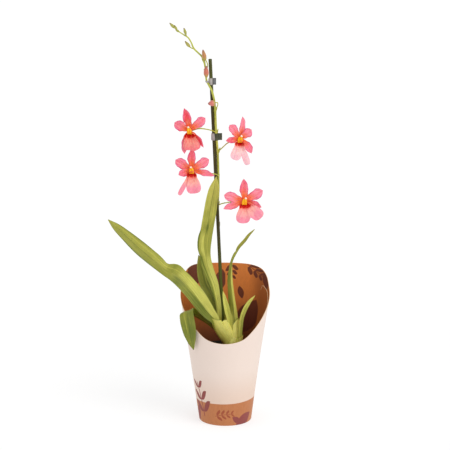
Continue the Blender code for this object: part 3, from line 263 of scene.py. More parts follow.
# Blooms: middle, facing, tepals (tip, bend, half width, kind, redness), lip lobes (bearing from
# straight down, reach, half spread), the red patch (half width, height, half depth), how far the
# lip is thrown forward, its tint and the tint's share, and the column's tip.
BLOOMS = {
    "bloom_1": {
        "middle": (-56, -20, 474), "looks": (-0.15, -0.95, -0.2),
        "tepals": [
            ((-8, -5, 35), (3, -2, 0), 6.8, "sepal", 1.0),
            ((-23, -5, 13), (0, -2, 0), 8.4, "petal", 0.45),
            ((25, -4, 20), (0, -2, 1), 7.2, "petal", 0.4),
            ((22, -13, -25), (3, -3, 3), 4.4, "sepal", 1.0),
            ((-7.6, -11.5, -35), (-4, -3, 2), 6.2, "sepal", 0.35),
        ],
        "lip": [(-6, 31, 30), (26, 33, 26)], "stain": (8.0, -7.0, 3.8), "throw": 17,
        "tint": (236, 104, 98), "tinted": 0.6, "column": (-2, -10, 7)},
    "bloom_2": {
        "middle": (-53, -18.6, 412), "looks": (-0.1, -0.98, -0.1),
        "tepals": [
            ((1, -4, 34), (0, -2, 0), 6.6, "sepal", 0.6),
            ((-25, -4, 16.2), (0, -2, 1), 8, "petal", 0.42),
            ((27.5, -3, 17), (0, -2, 1), 7.6, "petal", 0.3),
            ((36, -4, -9), (0, -2, 2), 5.2, "sepal", 0.45),
            ((-20, -9, -7), (-2, -3, 1), 6.4, "sepal", 0.5),
        ],
        "lip": [(-28, 45, 9), (8, 38, 36)], "stain": (8.0, -6.8, 3.6), "throw": 13,
        "tint": (246, 140, 164), "tinted": 0.2, "column": (-1, -10, 6)},
    "bloom_3": {
        "middle": (23, -20, 461), "looks": (0.32, -0.93, -0.1),
        "tepals": [
            ((4, -3, 35), (3, -2, 0), 5, "sepal", 0.3),
            ((-16, -6, 22.4), (0, -2, 1), 6.8, "petal", 0.3),
            ((18, -3, 14.6), (0, -2, 1), 7.6, "petal", 0.25),
            ((18, -6, -22), (3, -2, 2), 6.6, "sepal", 0.4),
            ((-22, -10, -2), (0, -2, 1), 5.4, "sepal", 0.6),
        ],
        "lip": [(-16, 34.5, 29), (18, 43, 14)], "stain": (6.4, -6.6, 3.6), "throw": 14,
        "tint": (252, 218, 224), "tinted": 0.65, "column": (3, -10, 6)},
    "bloom_4": {
        "middle": (30, -20, 363), "looks": (0.03, -1, -0.02),
        "tepals": [
            ((-1, -5, 35.5), (0, -2, 0), 7, "sepal", 0.58),
            ((-32, -5, 10), (0, -2, 1), 7.8, "petal", 0.2),
            ((29, -4, 17), (0, -2, 1), 8, "petal", 0.1),
            ((27, -3, -10), (0, -1, 1), 6, "sepal", 0.4),
            ((-33, -6, -12), (0, -2, 1), 6, "sepal", 0.4),
        ],
        "lip": [(-5, 36, 37), (48, 39, 30)], "stain": (9.6, -6.8, 4.0), "throw": 12,
        "tint": (248, 150, 174), "tinted": 0.3, "column": (3, -10, 6)},
}
# A tepal's half width from hub to tip, as shares of its greatest.
TEPAL_WIDTHS = {
    "sepal": [(0, 0.36), (0.3, 0.82), (0.55, 1.0), (0.8, 0.7), (0.93, 0.36), (1, 0.08)],
    "petal": [(0, 0.3), (0.3, 0.74), (0.6, 1.0), (0.8, 0.92), (0.92, 0.58), (1, 0.12)],
}
# The hub's radius, the lip's claw from the bloom's middle, how far from it the lip starts, what is
# taken off the lip's reach, and the share of its throw that it bows forward.
HUB_R, CLAW, CLAW_R, REACH_FROM, LIP_BOW = 3.2, (0, -3.1, -1.6), 0.8, 1.7, 0.62

# Clips: middle, height, the tab's reach, the stem collar's radius and height, and its material.
CLIPS = {
    "clip_upper": {
        "middle": (-22.3, 6, 548.6), "height": 10.5, "reach": 4.4, "grip": 2.4, "held": 2.8, "kind": 0},
    "clip_lower": {
        "middle": (-18.3, 6, 461.6), "height": 11, "reach": 9.9, "grip": 3.1, "held": 11, "kind": 1},
}

# Stage, in metres: the floor as radius and height, the sky's and the sun's light, and the camera.
FLOOR = [(0, 0), (4, 0), (20, 0), (28, 1), (36, 5), (42, 11), (46, 20)]
SKY, SUN, SUN_WIDTH, SUN_PLACE = 0.6, 1.1, 40, (1.7, -1.5, 2.0)
CAMERA_PLACE, CAMERA_PITCH, CAMERA_LENS, CAMERA_SENSOR = (0, -2.0, 0.67), 9.9034, 101.67, 36.0
CAMERA_SHIFT = -0.3 / 450


def rgb(red, green, blue):
    """A picture's colour, 0 to 255, as the values that a shader takes."""
    return (*[((c / 255 + 0.055) / 1.055) ** 2.4 for c in (red, green, blue)], 1.0)


class Paint:
    """A procedural material whose colour is laid on in coats, and short calls for its nodes."""

    def __init__(self, name, gloss=0.5, **values):
        self.material = bpy.data.materials.new(name)
        self.material.use_nodes = True
        self.tree = self.material.node_tree
        self.shader = self.tree.nodes["Principled BSDF"]
        self.shader.inputs["Specular IOR Level"].default_value = gloss
        self.colour = None
        for key, value in values.items():
            self.shader.inputs[key.replace("_", " ").title()].default_value = value

    def node(self, kind, inputs, output=0, **settings):
        """Adds a node, sets or links its inputs, and gives one of its outputs."""
        made = self.tree.nodes.new("ShaderNode" + kind)
        for key, value in settings.items():
            setattr(made, key, value)
        for key, value in inputs.items():
            if isinstance(value, bpy.types.NodeSocket):
                self.tree.links.new(value, made.inputs[key])
            else:
                made.inputs[key].default_value = value
        return made.outputs[output]

    def math(self, operation, a, b=0.0, c=0.0):
        """One sum."""
        return self.node("Math", {0: a, 1: b, 2: c}, operation=operation)

    def times(self, a, b):
        """Two values multiplied."""
        return self.math("MULTIPLY", a, b)

    def scaled(self, value, factor, shift):
        """A value times a factor, with a shift added."""
        return self.math("MULTIPLY_ADD", value, factor, shift)

    def step(self, value, low, high, start=0.0, end=1.0):
        """A smooth change from start to end while the value goes from low to high."""
        limits = {"Value": value, "From Min": low, "From Max": high, "To Min": start, "To Max": end}
        return self.node("MapRange", limits, interpolation_type="SMOOTHSTEP")

    def mix(self, share, a, b):
        """Two colours mixed."""
        return self.node("Mix", {0: share, 6: a, 7: b}, 2, data_type="RGBA")

    def base(self, share, low, high):
        """Starts the colour, from low to high by a share."""
        self.colour = self.mix(share, low, high)

    def coat(self, share, shade):
        """Lays a shade over the colour by a share."""
        self.colour = self.mix(share, self.colour, shade)

    def mark(self, name):
        """A value that the mesh carries."""
        return self.node("Attribute", {}, "Fac", attribute_name=name)

    def parts(self, vector):
        """The three values of a vector."""
        made = self.tree.nodes.new("ShaderNodeSeparateXYZ")
        self.tree.links.new(vector, made.inputs[0])
        return made.outputs

    def where(self, stretch=(1, 1, 1)):
        """The place on the piece, in metres, stretched."""
        place = self.node("TexCoord", {}, "Object")
        return self.node("Mapping", {"Vector": place, "Scale": stretch})

    def noise(self, scale, detail=3.0, rough=0.5, vector=None, stretch=(1, 1, 1)):
        """Cloudy noise from 0 to 1; the scale counts spots in a metre."""
        inputs = {"Vector": vector or self.where(stretch), "Scale": scale, "Detail": detail,
                  "Roughness": rough}
        return self.node("TexNoise", inputs)

    def lines(self, across, along, detail=3.0):
        """Noise in lines that run along the piece, by its own marks."""
        spot = {"X": self.times(self.mark("across"), across), "Y": self.times(self.mark("along"), along),
                "Z": self.mark("tone")}
        return self.noise(1.0, detail, 0.6, self.node("CombineXYZ", spot))

    def side(self):
        """How far from the middle line, 0 to 1."""
        return self.math("ABSOLUTE", self.mark("across"))

    def bump(self, height, distance, strength=1.0):
        """Relief of a height from 0 to 1 over a distance in millimetres."""
        inputs = {"Height": height, "Distance": distance * MM, "Strength": strength}
        return self.node("Bump", inputs)

    def done(self, roughness=None, normal=None):
        """Links what was made to the shader."""
        for key, value in (("Base Color", self.colour), ("Roughness", roughness), ("Normal", normal)):
            if value is not None:
                self.tree.links.new(value, self.shader.inputs[key])
        return self.material


class Shape:
    """Collects surfaces and makes one piece of them."""

    def __init__(self):
        self.places, self.faces, self.marks, self.kinds, self.count = [], [], [], [], 0

    def add(self, places, faces, marks, kind=0):
        """Places in millimetres; marks are along, across and tone at each place."""
        places = np.asarray(places, float).reshape(-1, 3)
        marks = np.broadcast_to(np.asarray(marks, float), (len(places), 3))
        self.places.append(places)
        self.marks.append(marks)
        self.faces += [[i + self.count for i in face] for face in faces]
        self.kinds += [kind] * len(faces) if isinstance(kind, int) else list(kind)
        self.count += len(places)

    def make(self, name, materials, slot, *nodes, sharp=None):
        """The piece, riding on the plant and standing for its CAD nodes."""
        mesh = bpy.data.meshes.new(name)
        mesh.from_pydata((np.concatenate(self.places) * MM).tolist(), [], self.faces)
        marks = np.concatenate(self.marks)
        for column, title in enumerate(("along", "across", "tone")):
            made = mesh.attributes.new(title, "FLOAT", "POINT")
            made.data.foreach_set("value", marks[:, column].astype(np.float32))
        for material in materials:
            mesh.materials.append(material)
        mesh.polygons.foreach_set("material_index", self.kinds)
        mesh.shade_smooth()
        if sharp:
            mesh.set_sharp_from_angle(angle=math.radians(sharp))
        piece = bpy.data.objects.new(name, mesh)
        bpy.context.scene.collection.objects.link(piece)
        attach(piece, "root")
        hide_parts(*nodes)


def unit(vectors):
    """Vectors of length one."""
    return vectors / np.maximum(np.linalg.norm(vectors, axis=-1, keepdims=True), 1e-9)


def smooth_rows(rows, count):
    """A smooth curve through the rows at even steps; the first three values are a place."""
    rows = np.array(rows, float)
    chords = np.linalg.norm(np.diff(rows[:, :3], axis=0), axis=1)
    knots = np.concatenate([[0], np.cumsum(chords)])
    slopes = np.gradient(rows, knots, axis=0)
    places = np.linspace(0, knots[-1], count)
    left = np.clip(np.searchsorted(knots, places, side="right") - 1, 0, len(knots) - 2)
    span = (knots[left + 1] - knots[left])[:, None]
    t = (places - knots[left])[:, None] / span
    start = (2 * t**3 - 3 * t**2 + 1) * rows[left] + (t**3 - 2 * t**2 + t) * slopes[left] * span
    return start + (3 * t**2 - 2 * t**3) * rows[left + 1] + (t**3 - t**2) * slopes[left + 1] * span


def curve(table, places):
    """A smooth line through a table of two columns, read at the places."""
    dense = smooth_rows([(x, 0, 0, y) for x, y in table], 200)
    return np.interp(places, dense[:, 0], dense[:, 3])


def skin(places, half):
    """Corners and faces of a closed thin solid round a grid of places."""
    n, m = places.shape[:2]
    normal = unit(np.cross(np.gradient(places, axis=0), np.gradient(places, axis=1)))
    lift = normal * np.broadcast_to(half, (n, m))[..., None]
    corners = np.concatenate([(places + lift).reshape(-1, 3), (places - lift).reshape(-1, 3)])
    index = np.arange(n * m).reshape(n, m)
    a, b, c, d = index[:-1, :-1], index[1:, :-1], index[1:, 1:], index[:-1, 1:]
    top = np.stack([a, b, c, d], -1).reshape(-1, 4)
    edge = np.concatenate([index[:, 0], index[-1, 1:], index[-2::-1, -1], index[0, -2:0:-1]])
    after = np.roll(edge, -1)
    side = np.stack([after, edge, edge + n * m, after + n * m], -1)
    return corners, np.concatenate([top, top[:, ::-1] + n * m, side]).tolist()


def twice(*grids):
    """Marks of a grid for both faces of its skin."""
    flat = np.stack([np.broadcast_to(g, grids[0].shape).ravel() for g in grids], -1)
    return np.concatenate([flat, flat])


def ring_faces(rings, around):
    """Faces that join closed rings of places, each to the next."""
    i, j = np.meshgrid(np.arange(rings - 1), np.arange(around), indexing="ij")
    k = (j + 1) % around
    faces = np.stack([i * around + j, i * around + k, (i + 1) * around + k, (i + 1) * around + j], -1)
    return faces.reshape(-1, 4).tolist()


def tube(rows, sides, ribs=0, depth=0.0):
    """Rings of places round a line of rows, and the marks along and round."""
    rows = np.array(rows, float)
    tangent = unit(np.gradient(rows[:, :3], axis=0))
    across = np.cross(tangent[0], (0.3, 1, 0.2) if abs(tangent[0][1]) < 0.8 else (1, 0, 0))
    angle = np.arange(sides) * math.tau / sides
    rings = []
    for row, way in zip(rows, tangent):
        across = unit(across - way * across.dot(way))
        reach = row[3] * (1 + depth * np.cos(ribs * angle))[:, None]
        circle = np.outer(np.cos(angle), across) + np.outer(np.sin(angle), np.cross(way, across))
        rings.append(row[:3] + reach * circle)
    along, around = np.meshgrid(np.linspace(0, 1, len(rows)), angle / math.tau, indexing="ij")
    return np.array(rings), along, around


def add_tube(shape, rows, sides=20, tone=0.5, kind=0, ribs=0, depth=0.0):
    """Adds a tube with closed ends; the tone may be a pair, for its two ends."""
    rings, along, around = tube(rows, sides, ribs, depth)
    n = len(rings)
    faces = ring_faces(n, sides)
    for j in range(sides):
        k = (j + 1) % sides
        faces += [[n * sides, k, j], [n * sides + 1, (n - 1) * sides + j, (n - 1) * sides + k]]
    places = np.concatenate([rings.reshape(-1, 3), [rows[0][:3]], [rows[-1][:3]]])
    low, high = tone if isinstance(tone, tuple) else (tone, tone)
    marks = np.stack([along, around, low + (high - low) * along], -1).reshape(-1, 3)
    shape.add(places, faces, np.concatenate([marks, [[0, 0, low], [1, 0, high]]]), kind)


def blade(rows, across, thickness, wave=0.0, turns=2.0, veins=0, relief=0.0, keel=0.0, crease=1.3,
          buckles=(), uneven=0.0):
    """Grid of places and half thickness of a leaf or tepal, with u along and v across, -1 to 1.

    Rows are place, half width, facing and fold. Wave lifts the edges in so many turns, relief is
    the height of the veins, keel the midrib's, and uneven roughens the outline.
    """
    rows = np.asarray(rows, float)
    tangent = unit(np.gradient(rows[:, :3], axis=0))
    side = unit(np.cross(rows[:, 4:7], tangent))
    face = np.cross(tangent, side)
    u, v = np.meshgrid(np.linspace(0, 1, len(rows)), np.linspace(-1, 1, across), indexing="ij")
    half, fold = rows[:, 3:4], np.radians(rows[:, 7:8])
    ripple = wave * np.abs(v) ** 2 * np.sin(math.pi * u) * np.sin(math.tau * turns * u + 1.6 * v)
    lift = half * np.sin(fold) * np.abs(v) ** crease + ripple
    lift += relief * np.cos(math.pi * veins * v) * np.minimum(half / 6, 1) * (1 - v**2)
    lift -= keel * np.exp(-((v / 0.07) ** 2))
    wide = half * np.cos(fold) * v
    wide *= 1 + uneven * (np.sin(9 * u + 1.7 * np.sign(v) + turns * 5) + 0.5 * np.sin(23 * u + 4 * v))
    for at, hand, out, up, spread in buckles:
        share = np.exp(-(((u - at) / spread) ** 2)) * np.clip(v * hand, 0, 1) ** 2
        wide += hand * out * share
        lift += up * share
    places = rows[:, None, :3] + side[:, None] * wide[..., None] + face[:, None] * lift[..., None]
    thick = thickness / 2 * (1 - 0.72 * np.abs(v) ** 5) + 0.5 * keel * np.exp(-((v / 0.09) ** 2))
    return places, thick, u, v


# Print of the sleeve.
def unrolled(paint):
    """The place on the sleeve laid flat, in millimetres: round from the front, and up."""
    x, y, z = paint.parts(paint.where())
    turn = paint.math("ARCTAN2", x, paint.times(y, -1.0))
    return paint.node("CombineXYZ", {"X": paint.times(turn, UNROLLED_R), "Y": paint.times(z, 1 / MM)})


def placed(paint, flat, place, angle, long, wide):
    """Along and across of a point, seen from a motif's place, turn and scale."""
    spot = {"Vector": flat, "Location": (*place, 0), "Rotation": (0, 0, math.radians(angle)),
            "Scale": (long, wide, 1)}
    return paint.parts(paint.node("Mapping", spot, vector_type="TEXTURE"))[:2]


def printed_leaf(paint, flat, place, angle, length, width):
    """How far a point is inside a pointed leaf, 0 at its edge."""
    along, across = placed(paint, flat, place, angle, length / 2, width / 2)
    bow = paint.scaled(paint.times(along, along), -1.0, 1.0)
    return paint.math("SUBTRACT", bow, paint.math("ABSOLUTE", across))


def printed_sprig(paint, flat, place, angle, pitch, pairs, reach, width, lean, bend):
    """The same for a bending twig with pairs of leaves that get smaller towards its tip."""
    slope = math.radians(lean)
    along, across = placed(paint, flat, place, angle, pitch, pitch)
    across = paint.scaled(paint.times(along, along), -bend, across)
    off = paint.math("ABSOLUTE", across)
    slid = paint.scaled(off, -1 / math.tan(slope), along)
    size = paint.scaled(paint.math("FLOOR", slid), -SPRIG_SHRINK / pairs, 1.0)
    way = paint.scaled(paint.math("DIVIDE", off, size), 2 / (reach * math.sin(slope)), -1.0)
    aside = paint.math("ABSOLUTE", paint.math("SUBTRACT", paint.math("FRACT", slid), 0.5))
    inside = paint.scaled(paint.math("DIVIDE", aside, size), -1 / width, 1.0)
    inside = paint.math("SUBTRACT", inside, paint.times(way, way))
    twig = paint.scaled(off, -TWIG_FINENESS, 1.0)
    within = paint.math("ABSOLUTE", paint.math("SUBTRACT", slid, pairs / 2))
    within = paint.math("SUBTRACT", pairs / 2, within)
    return paint.math("MINIMUM", paint.math("MAXIMUM", inside, twig), within)


def printed(paint, flat, sprigs, leaves=()):
    """1 inside any of the sprigs or leaves."""
    depths = [printed_sprig(paint, flat, *row) for row in sprigs]
    depths += [printed_leaf(paint, flat, *row) for row in leaves]
    depth = depths[0]
    for other in depths[1:]:
        depth = paint.math("MAXIMUM", depth, other)
    return paint.step(depth, 0.0, PRINT_EDGE)


# Materials.
def board_outside():
    """White-faced board with a plain kraft band round its foot and a sprig print."""
    paint = Paint("board_outside", roughness=0.55)
    flat, height, grain = unrolled(paint), paint.mark("along"), paint.noise(900, 4, 0.6)
    white = paint.mix(grain, rgb(226, 207, 195), rgb(234, 217, 206))
    white = paint.mix(paint.step(height, 0, 60, 0.34, 0.0), white, rgb(206, 164, 130))
    fibre = paint.noise(260, 5, 0.65, stretch=(1, 1, 0.4))
    kraft = paint.mix(fibre, rgb(172, 102, 56), rgb(192, 122, 72))
    plum = paint.mix(grain, rgb(128, 52, 48), rgb(146, 66, 58))
    paint.base(paint.step(height, -0.15, 0.15), kraft, white)
    paint.coat(printed(paint, flat, PLUM_SPRIGS, PLUM_LEAVES), plum)
    paint.coat(paint.times(printed(paint, flat, RUST_SPRIGS), PRINT_COVER), rgb(150, 64, 32))
    return paint.done(paint.step(grain, 0.3, 0.7, 0.5, 0.62), paint.bump(grain, 0.05, 0.4))


def board_inside():
    """Bare kraft inside with dark sprigs, and painted shade: darker deep in the sleeve and on the right
    inner wall.
    """
    paint = Paint("board_inside", roughness=0.7)
    fibre = paint.noise(300, 6, 0.7, stretch=(1, 1, 0.35))
    dark = paint.mix(fibre, rgb(84, 32, 16), rgb(108, 44, 24))
    paint.base(fibre, rgb(204, 110, 36), rgb(236, 144, 66))
    # Painted shade deep inside the sleeve, darker towards the bottom.
    paint.coat(paint.step(paint.mark("along"), 70, 165, 0.85, 0.0), rgb(84, 34, 8))
    # Painted shade on the right inner wall, which faces away from the light.
    paint.coat(paint.step(paint.parts(paint.where())[0], 0.038, 0.06, 0.0, 0.55), rgb(108, 50, 4))
    paint.coat(paint.times(printed(paint, unrolled(paint), DARK_SPRIGS, DARK_LEAVES), PRINT_COVER), dark)
    return paint.done(paint.step(fibre, 0.3, 0.7, 0.62, 0.78), paint.bump(fibre, 0.08, 0.5))


def board_edge():
    """The pale cut edge of the board."""
    paint = Paint("board_edge", roughness=0.85)
    grain = paint.noise(1500, 4, 0.6)
    paint.base(grain, rgb(234, 182, 128), rgb(250, 220, 180))
    return paint.done(normal=paint.bump(grain, 0.1))


def leaf_skin():
    """Leaf: parallel veins, dull edges and painted shade in the midrib's groove; mottled green by the
    piece's tone, which also carries painted light and shade.
    """
    paint = Paint("leaf_skin", 0.3, roughness=0.45, subsurface_weight=0.05, subsurface_scale=0.002,
                  subsurface_radius=(0.6, 1.0, 0.2))
    cloud, fine = paint.noise(55, 4, 0.55), paint.lines(26.0, 9.0)
    tone = paint.math("ADD", paint.mark("tone"), paint.scaled(cloud, 0.3, -0.15))
    paint.base(paint.step(tone, 0.0, 0.5), rgb(92, 104, 18), rgb(160, 158, 62))
    paint.coat(paint.step(tone, 0.5, 1.0), rgb(218, 214, 104))
    paint.coat(paint.step(paint.side(), 0.92, 1.0, 0.0, 0.3), rgb(150, 154, 76))
    # Painted shade in the groove along the midrib.
    paint.coat(paint.step(paint.side(), 0.02, 0.11, 0.75, 0.0), rgb(88, 96, 22))
    paint.coat(paint.step(fine, 0.38, 0.66, 0.0, 0.42), rgb(108, 122, 30))
    paint.coat(paint.step(paint.lines(7.0, 2.5), 0.5, 0.68, 0.0, 0.4), rgb(208, 202, 84))
    return paint.done(paint.step(fine, 0.2, 0.8, 0.36, 0.52), paint.bump(fine, 0.12, 0.6))


def bulb_skin():
    """Pseudobulb and sheaths: pale yellow-green with long fine ribs."""
    paint = Paint("bulb_skin", roughness=0.4, subsurface_weight=0.08, subsurface_scale=0.003)
    cloud, lines = paint.noise(70, 4, 0.6), paint.lines(60.0, 3.0)
    paint.base(paint.mark("tone"), rgb(132, 140, 44), rgb(250, 240, 122))
    paint.coat(paint.step(cloud, 0.35, 0.75, 0.0, 0.4), rgb(186, 182, 70))
    paint.coat(paint.step(lines, 0.42, 0.7, 0.0, 0.45), rgb(150, 154, 54))
    return paint.done(paint.step(lines, 0.3, 0.7, 0.36, 0.5), paint.bump(lines, 0.2, 0.7))


def stem_skin():
    """Flower stem and stalks, green to reddish by tone."""
    paint = Paint("stem_skin", roughness=0.4, subsurface_weight=0.06, subsurface_scale=0.001)
    cloud = paint.noise(160, 4, 0.6, stretch=(1, 1, 0.3))
    paint.base(paint.step(cloud, 0.3, 0.7), rgb(164, 168, 52), rgb(196, 198, 84))
    paint.coat(paint.step(paint.mark("tone"), 0.1, 1.0), rgb(192, 112, 56))
    paint.coat(paint.step(paint.noise(1400, 2, 0.5), 0.6, 0.72, 0.0, 0.35), rgb(104, 104, 30))
    return paint.done(normal=paint.bump(cloud, 0.1, 0.4))


def bud_skin():
    """Buds, green through salmon to pink by tone, with fine lines."""
    paint = Paint("bud_skin", roughness=0.45, subsurface_weight=0.08, subsurface_scale=0.001)
    along, tone, lines = paint.mark("along"), paint.mark("tone"), paint.lines(40.0, 3.0)
    paint.base(paint.step(tone, 0.0, 0.6), rgb(170, 172, 80), rgb(206, 116, 88))
    paint.coat(paint.step(tone, 0.6, 1.0), rgb(226, 134, 124))
    paint.coat(paint.step(along, 0.0, 0.42, 0.9, 0.0), rgb(172, 168, 66))
    paint.coat(paint.step(along, 0.6, 1.0, 0.0, 0.75), rgb(124, 82, 76))
    lined = paint.times(paint.step(lines, 0.42, 0.7), paint.step(tone, 0.0, 0.35, 0.15, 0.5))
    paint.coat(lined, rgb(160, 74, 62))
    return paint.done(normal=paint.bump(lines, 0.12, 0.6))


def tepal_skin():
    """Sepals and petals: orange-red at the root, coral, pink at the edge, veined."""
    paint = Paint("tepal_skin", 0.25, roughness=0.55, subsurface_weight=0.08, subsurface_scale=0.001)
    along, tone, side = paint.mark("along"), paint.mark("tone"), paint.side()
    lines, cloud = paint.lines(11.0, 3.0), paint.noise(260, 3, 0.6)
    coral = paint.mix(paint.step(tone, 0.2, 0.9), rgb(253, 147, 166), rgb(236, 66, 84))
    rim = paint.times(paint.step(side, 0.4, 1.0), paint.step(along, 0.15, 0.6))
    middle = paint.times(paint.step(side, 0.0, 0.14, 0.5, 0.0), paint.step(along, 0.35, 0.7, 1.0, 0.3))
    paint.base(paint.step(along, 0.16, 0.66), rgb(255, 122, 36), coral)
    paint.coat(paint.times(rim, 0.75), rgb(248, 126, 172))
    paint.coat(paint.step(along, 0.75, 1.0, 0.0, 0.35), rgb(250, 132, 164))
    paint.coat(paint.step(lines, 0.47, 0.6, 0.0, 0.7), rgb(222, 50, 80))
    paint.coat(paint.step(side, 0.82, 0.98, 0.0, 0.75), rgb(186, 66, 118))
    paint.coat(middle, rgb(204, 92, 36))
    paint.coat(paint.step(cloud, 0.4, 0.65, 0.0, 0.26), rgb(252, 172, 166))
    return paint.done(normal=paint.bump(lines, 0.14, 0.7))


def lip_skin(name, tint, tinted):
    """Lip: salmon, cream and pink outwards, tinted by a share, with a dark ragged patch at its base.

    Along is the distance out in cm, across the bearing, and tone is above 0 on the patch.
    """
    paint = Paint(name, 0.2, roughness=0.5, subsurface_weight=0.06, subsurface_scale=0.001)
    reach, cloud = paint.mark("along"), paint.noise(300, 4, 0.6)
    spot = {"X": paint.times(paint.mark("across"), 7.0), "Y": reach, "Z": 0.0}
    rays = paint.noise(1.0, 3, 0.65, vector=paint.node("CombineXYZ", spot))
    out = paint.math("ADD", reach, paint.scaled(rays, 1.0, -0.5))
    fade = paint.step(out, 0.9, 2.3, 1.0, 0.35)
    speckle = paint.times(paint.step(cloud, 0.5, 0.66, 0.0, 0.4), paint.step(out, 1.2, 2.8, 1.0, 0.3))
    paint.base(paint.step(out, 0.7, 2.2), rgb(248, 116, 84), rgb(246, 146, 166))
    paint.coat(paint.step(out, 0.9, 1.5, 0.0, 0.62), rgb(252, 202, 168))
    paint.coat(paint.step(out, 1.7, 2.8, 0.0, 0.8), rgb(244, 136, 166))
    paint.coat(paint.step(out, 0.7, 1.4, 0.0, tinted), rgb(*tint))
    paint.coat(speckle, rgb(232, 76, 74))
    paint.coat(paint.times(paint.step(rays, 0.37, 0.46, 0.5, 0.0), fade), rgb(254, 208, 178))
    paint.coat(paint.times(paint.step(rays, 0.5, 0.6, 0.0, 0.5), fade), rgb(228, 78, 102))
    patch = paint.math("ADD", paint.mark("tone"), paint.scaled(rays, 7.0, -3.6))
    patch = paint.math("ADD", patch, paint.scaled(cloud, 1.2, -0.6))
    paint.coat(paint.step(patch, -0.5, -0.05), rgb(210, 12, 0))
    return paint.done(normal=paint.bump(rays, 0.16, 0.7))


def crest_skin():
    """Yellow crest with orange freckles, redder by tone."""
    paint = Paint("crest_skin", 0.2, roughness=0.4, subsurface_weight=0.06, subsurface_scale=0.001)
    cloud = paint.noise(700, 3, 0.6)
    paint.base(paint.step(cloud, 0.42, 0.6), rgb(255, 210, 30), rgb(254, 156, 8))
    paint.coat(paint.mark("tone"), rgb(180, 36, 10))
    return paint.done(normal=paint.bump(cloud, 0.15, 0.6))


def column_skin():
    """Column: yellow-orange below and near white at its cap."""
    paint = Paint("column_skin", roughness=0.38, subsurface_weight=0.1, subsurface_scale=0.001)
    cloud = paint.noise(1100, 3, 0.6)
    paint.base(paint.step(paint.mark("along"), 0.55, 0.8), rgb(252, 168, 44), rgb(254, 238, 222))
    paint.coat(paint.step(cloud, 0.52, 0.7, 0.0, 0.3), rgb(236, 120, 70))
    return paint.done(normal=paint.bump(cloud, 0.1, 0.5))


def stake_skin():
    """Dark green coated stick, greener low down, with long streaks."""
    paint = Paint("stake_skin", 0.25, roughness=0.5)
    along, streak = paint.mark("along"), paint.noise(420, 5, 0.65, stretch=(1, 1, 0.06))
    paint.base(paint.step(along, 0.3, 0.55), rgb(82, 94, 22), rgb(56, 46, 16))
    paint.coat(paint.step(along, 0.85, 0.95), rgb(70, 72, 30))
    paint.coat(paint.step(streak, 0.4, 0.7, 0.0, 0.5), rgb(94, 98, 34))
    return paint.done(paint.step(streak, 0.3, 0.7, 0.42, 0.6), paint.bump(streak, 0.2, 0.6))


def plastic(name, low, high, rough):
    """Moulded plastic with a fine grain and worn lighter spots."""
    paint = Paint(name, 0.3, roughness=rough)
    cloud, grain = paint.noise(120, 4, 0.6), paint.noise(2600, 2, 0.5)
    paint.base(paint.step(cloud, 0.3, 0.75), low, high)
    worn = paint.step(cloud, 0.3, 0.7, rough - 0.06, rough + 0.12)
    return paint.done(worn, paint.bump(grain, 0.04, 0.5))


def bark_skin():
    """Bark chips, each of its own brown by tone, fibrous."""
    paint = Paint("bark_skin", roughness=0.85)
    fibre, cloud = paint.noise(420, 6, 0.7, stretch=(1, 0.25, 1)), paint.noise(90, 4, 0.6)
    paint.base(paint.mark("tone"), rgb(66, 34, 18), rgb(140, 80, 44))
    paint.coat(paint.step(fibre, 0.4, 0.7, 0.0, 0.6), rgb(44, 22, 12))
    paint.coat(paint.step(cloud, 0.45, 0.75, 0.0, 0.35), rgb(122, 74, 46))
    return paint.done(normal=paint.bump(fibre, 0.5, 0.8))


def floor_paint():
    """Even white floor that glows a little, as a light table does, so that shadows stay soft."""
    paint = Paint("floor_paint", 0.0, roughness=0.9, emission_strength=0.66, emission_color=(1, 1, 1, 1))
    paint.base(paint.noise(3, 2, 0.5), (0.40, 0.40, 0.40, 1), (0.42, 0.42, 0.42, 1))
    return paint.done()


# Pieces.
def sleeve_radius(z):
    """Outer radius of the sleeve at a height."""
    return SLEEVE_BASE_R + SLEEVE_FLARE * z


def drawn_in(angle, z):
    """How far the board stands inside the straight cone between foot and rim."""
    share = np.sin(math.pi * np.clip(z / DRAWN_IN_TOP, 0, 1))
    return (DRAWN_IN + DRAWN_IN_RIGHT * np.cos(angle)) * share


def rim_height(angle):
    """Height of the rim at angles from +X towards +Y, in radians, found step by step."""
    turned_angle = angle + RIM_TURN * (1 + np.sin(angle))
    line = smooth_rows([(y, z, 0) for y, z in RIM_OUTLINE], 240)
    z = np.full_like(angle, 190.0)
    for _ in range(30):
        z = 0.5 * z + 0.5 * np.interp(sleeve_radius(z) * np.sin(turned_angle), line[:, 0], line[:, 1])
    return z + RIM_RISE * np.exp(-(((angle - RIM_RISE_AT) / RIM_RISE_SPREAD) ** 2))


def ring(radius, angle, z):
    """Places of a ring."""
    return np.stack(np.broadcast_arrays(radius * np.cos(angle), radius * np.sin(angle), z), -1)


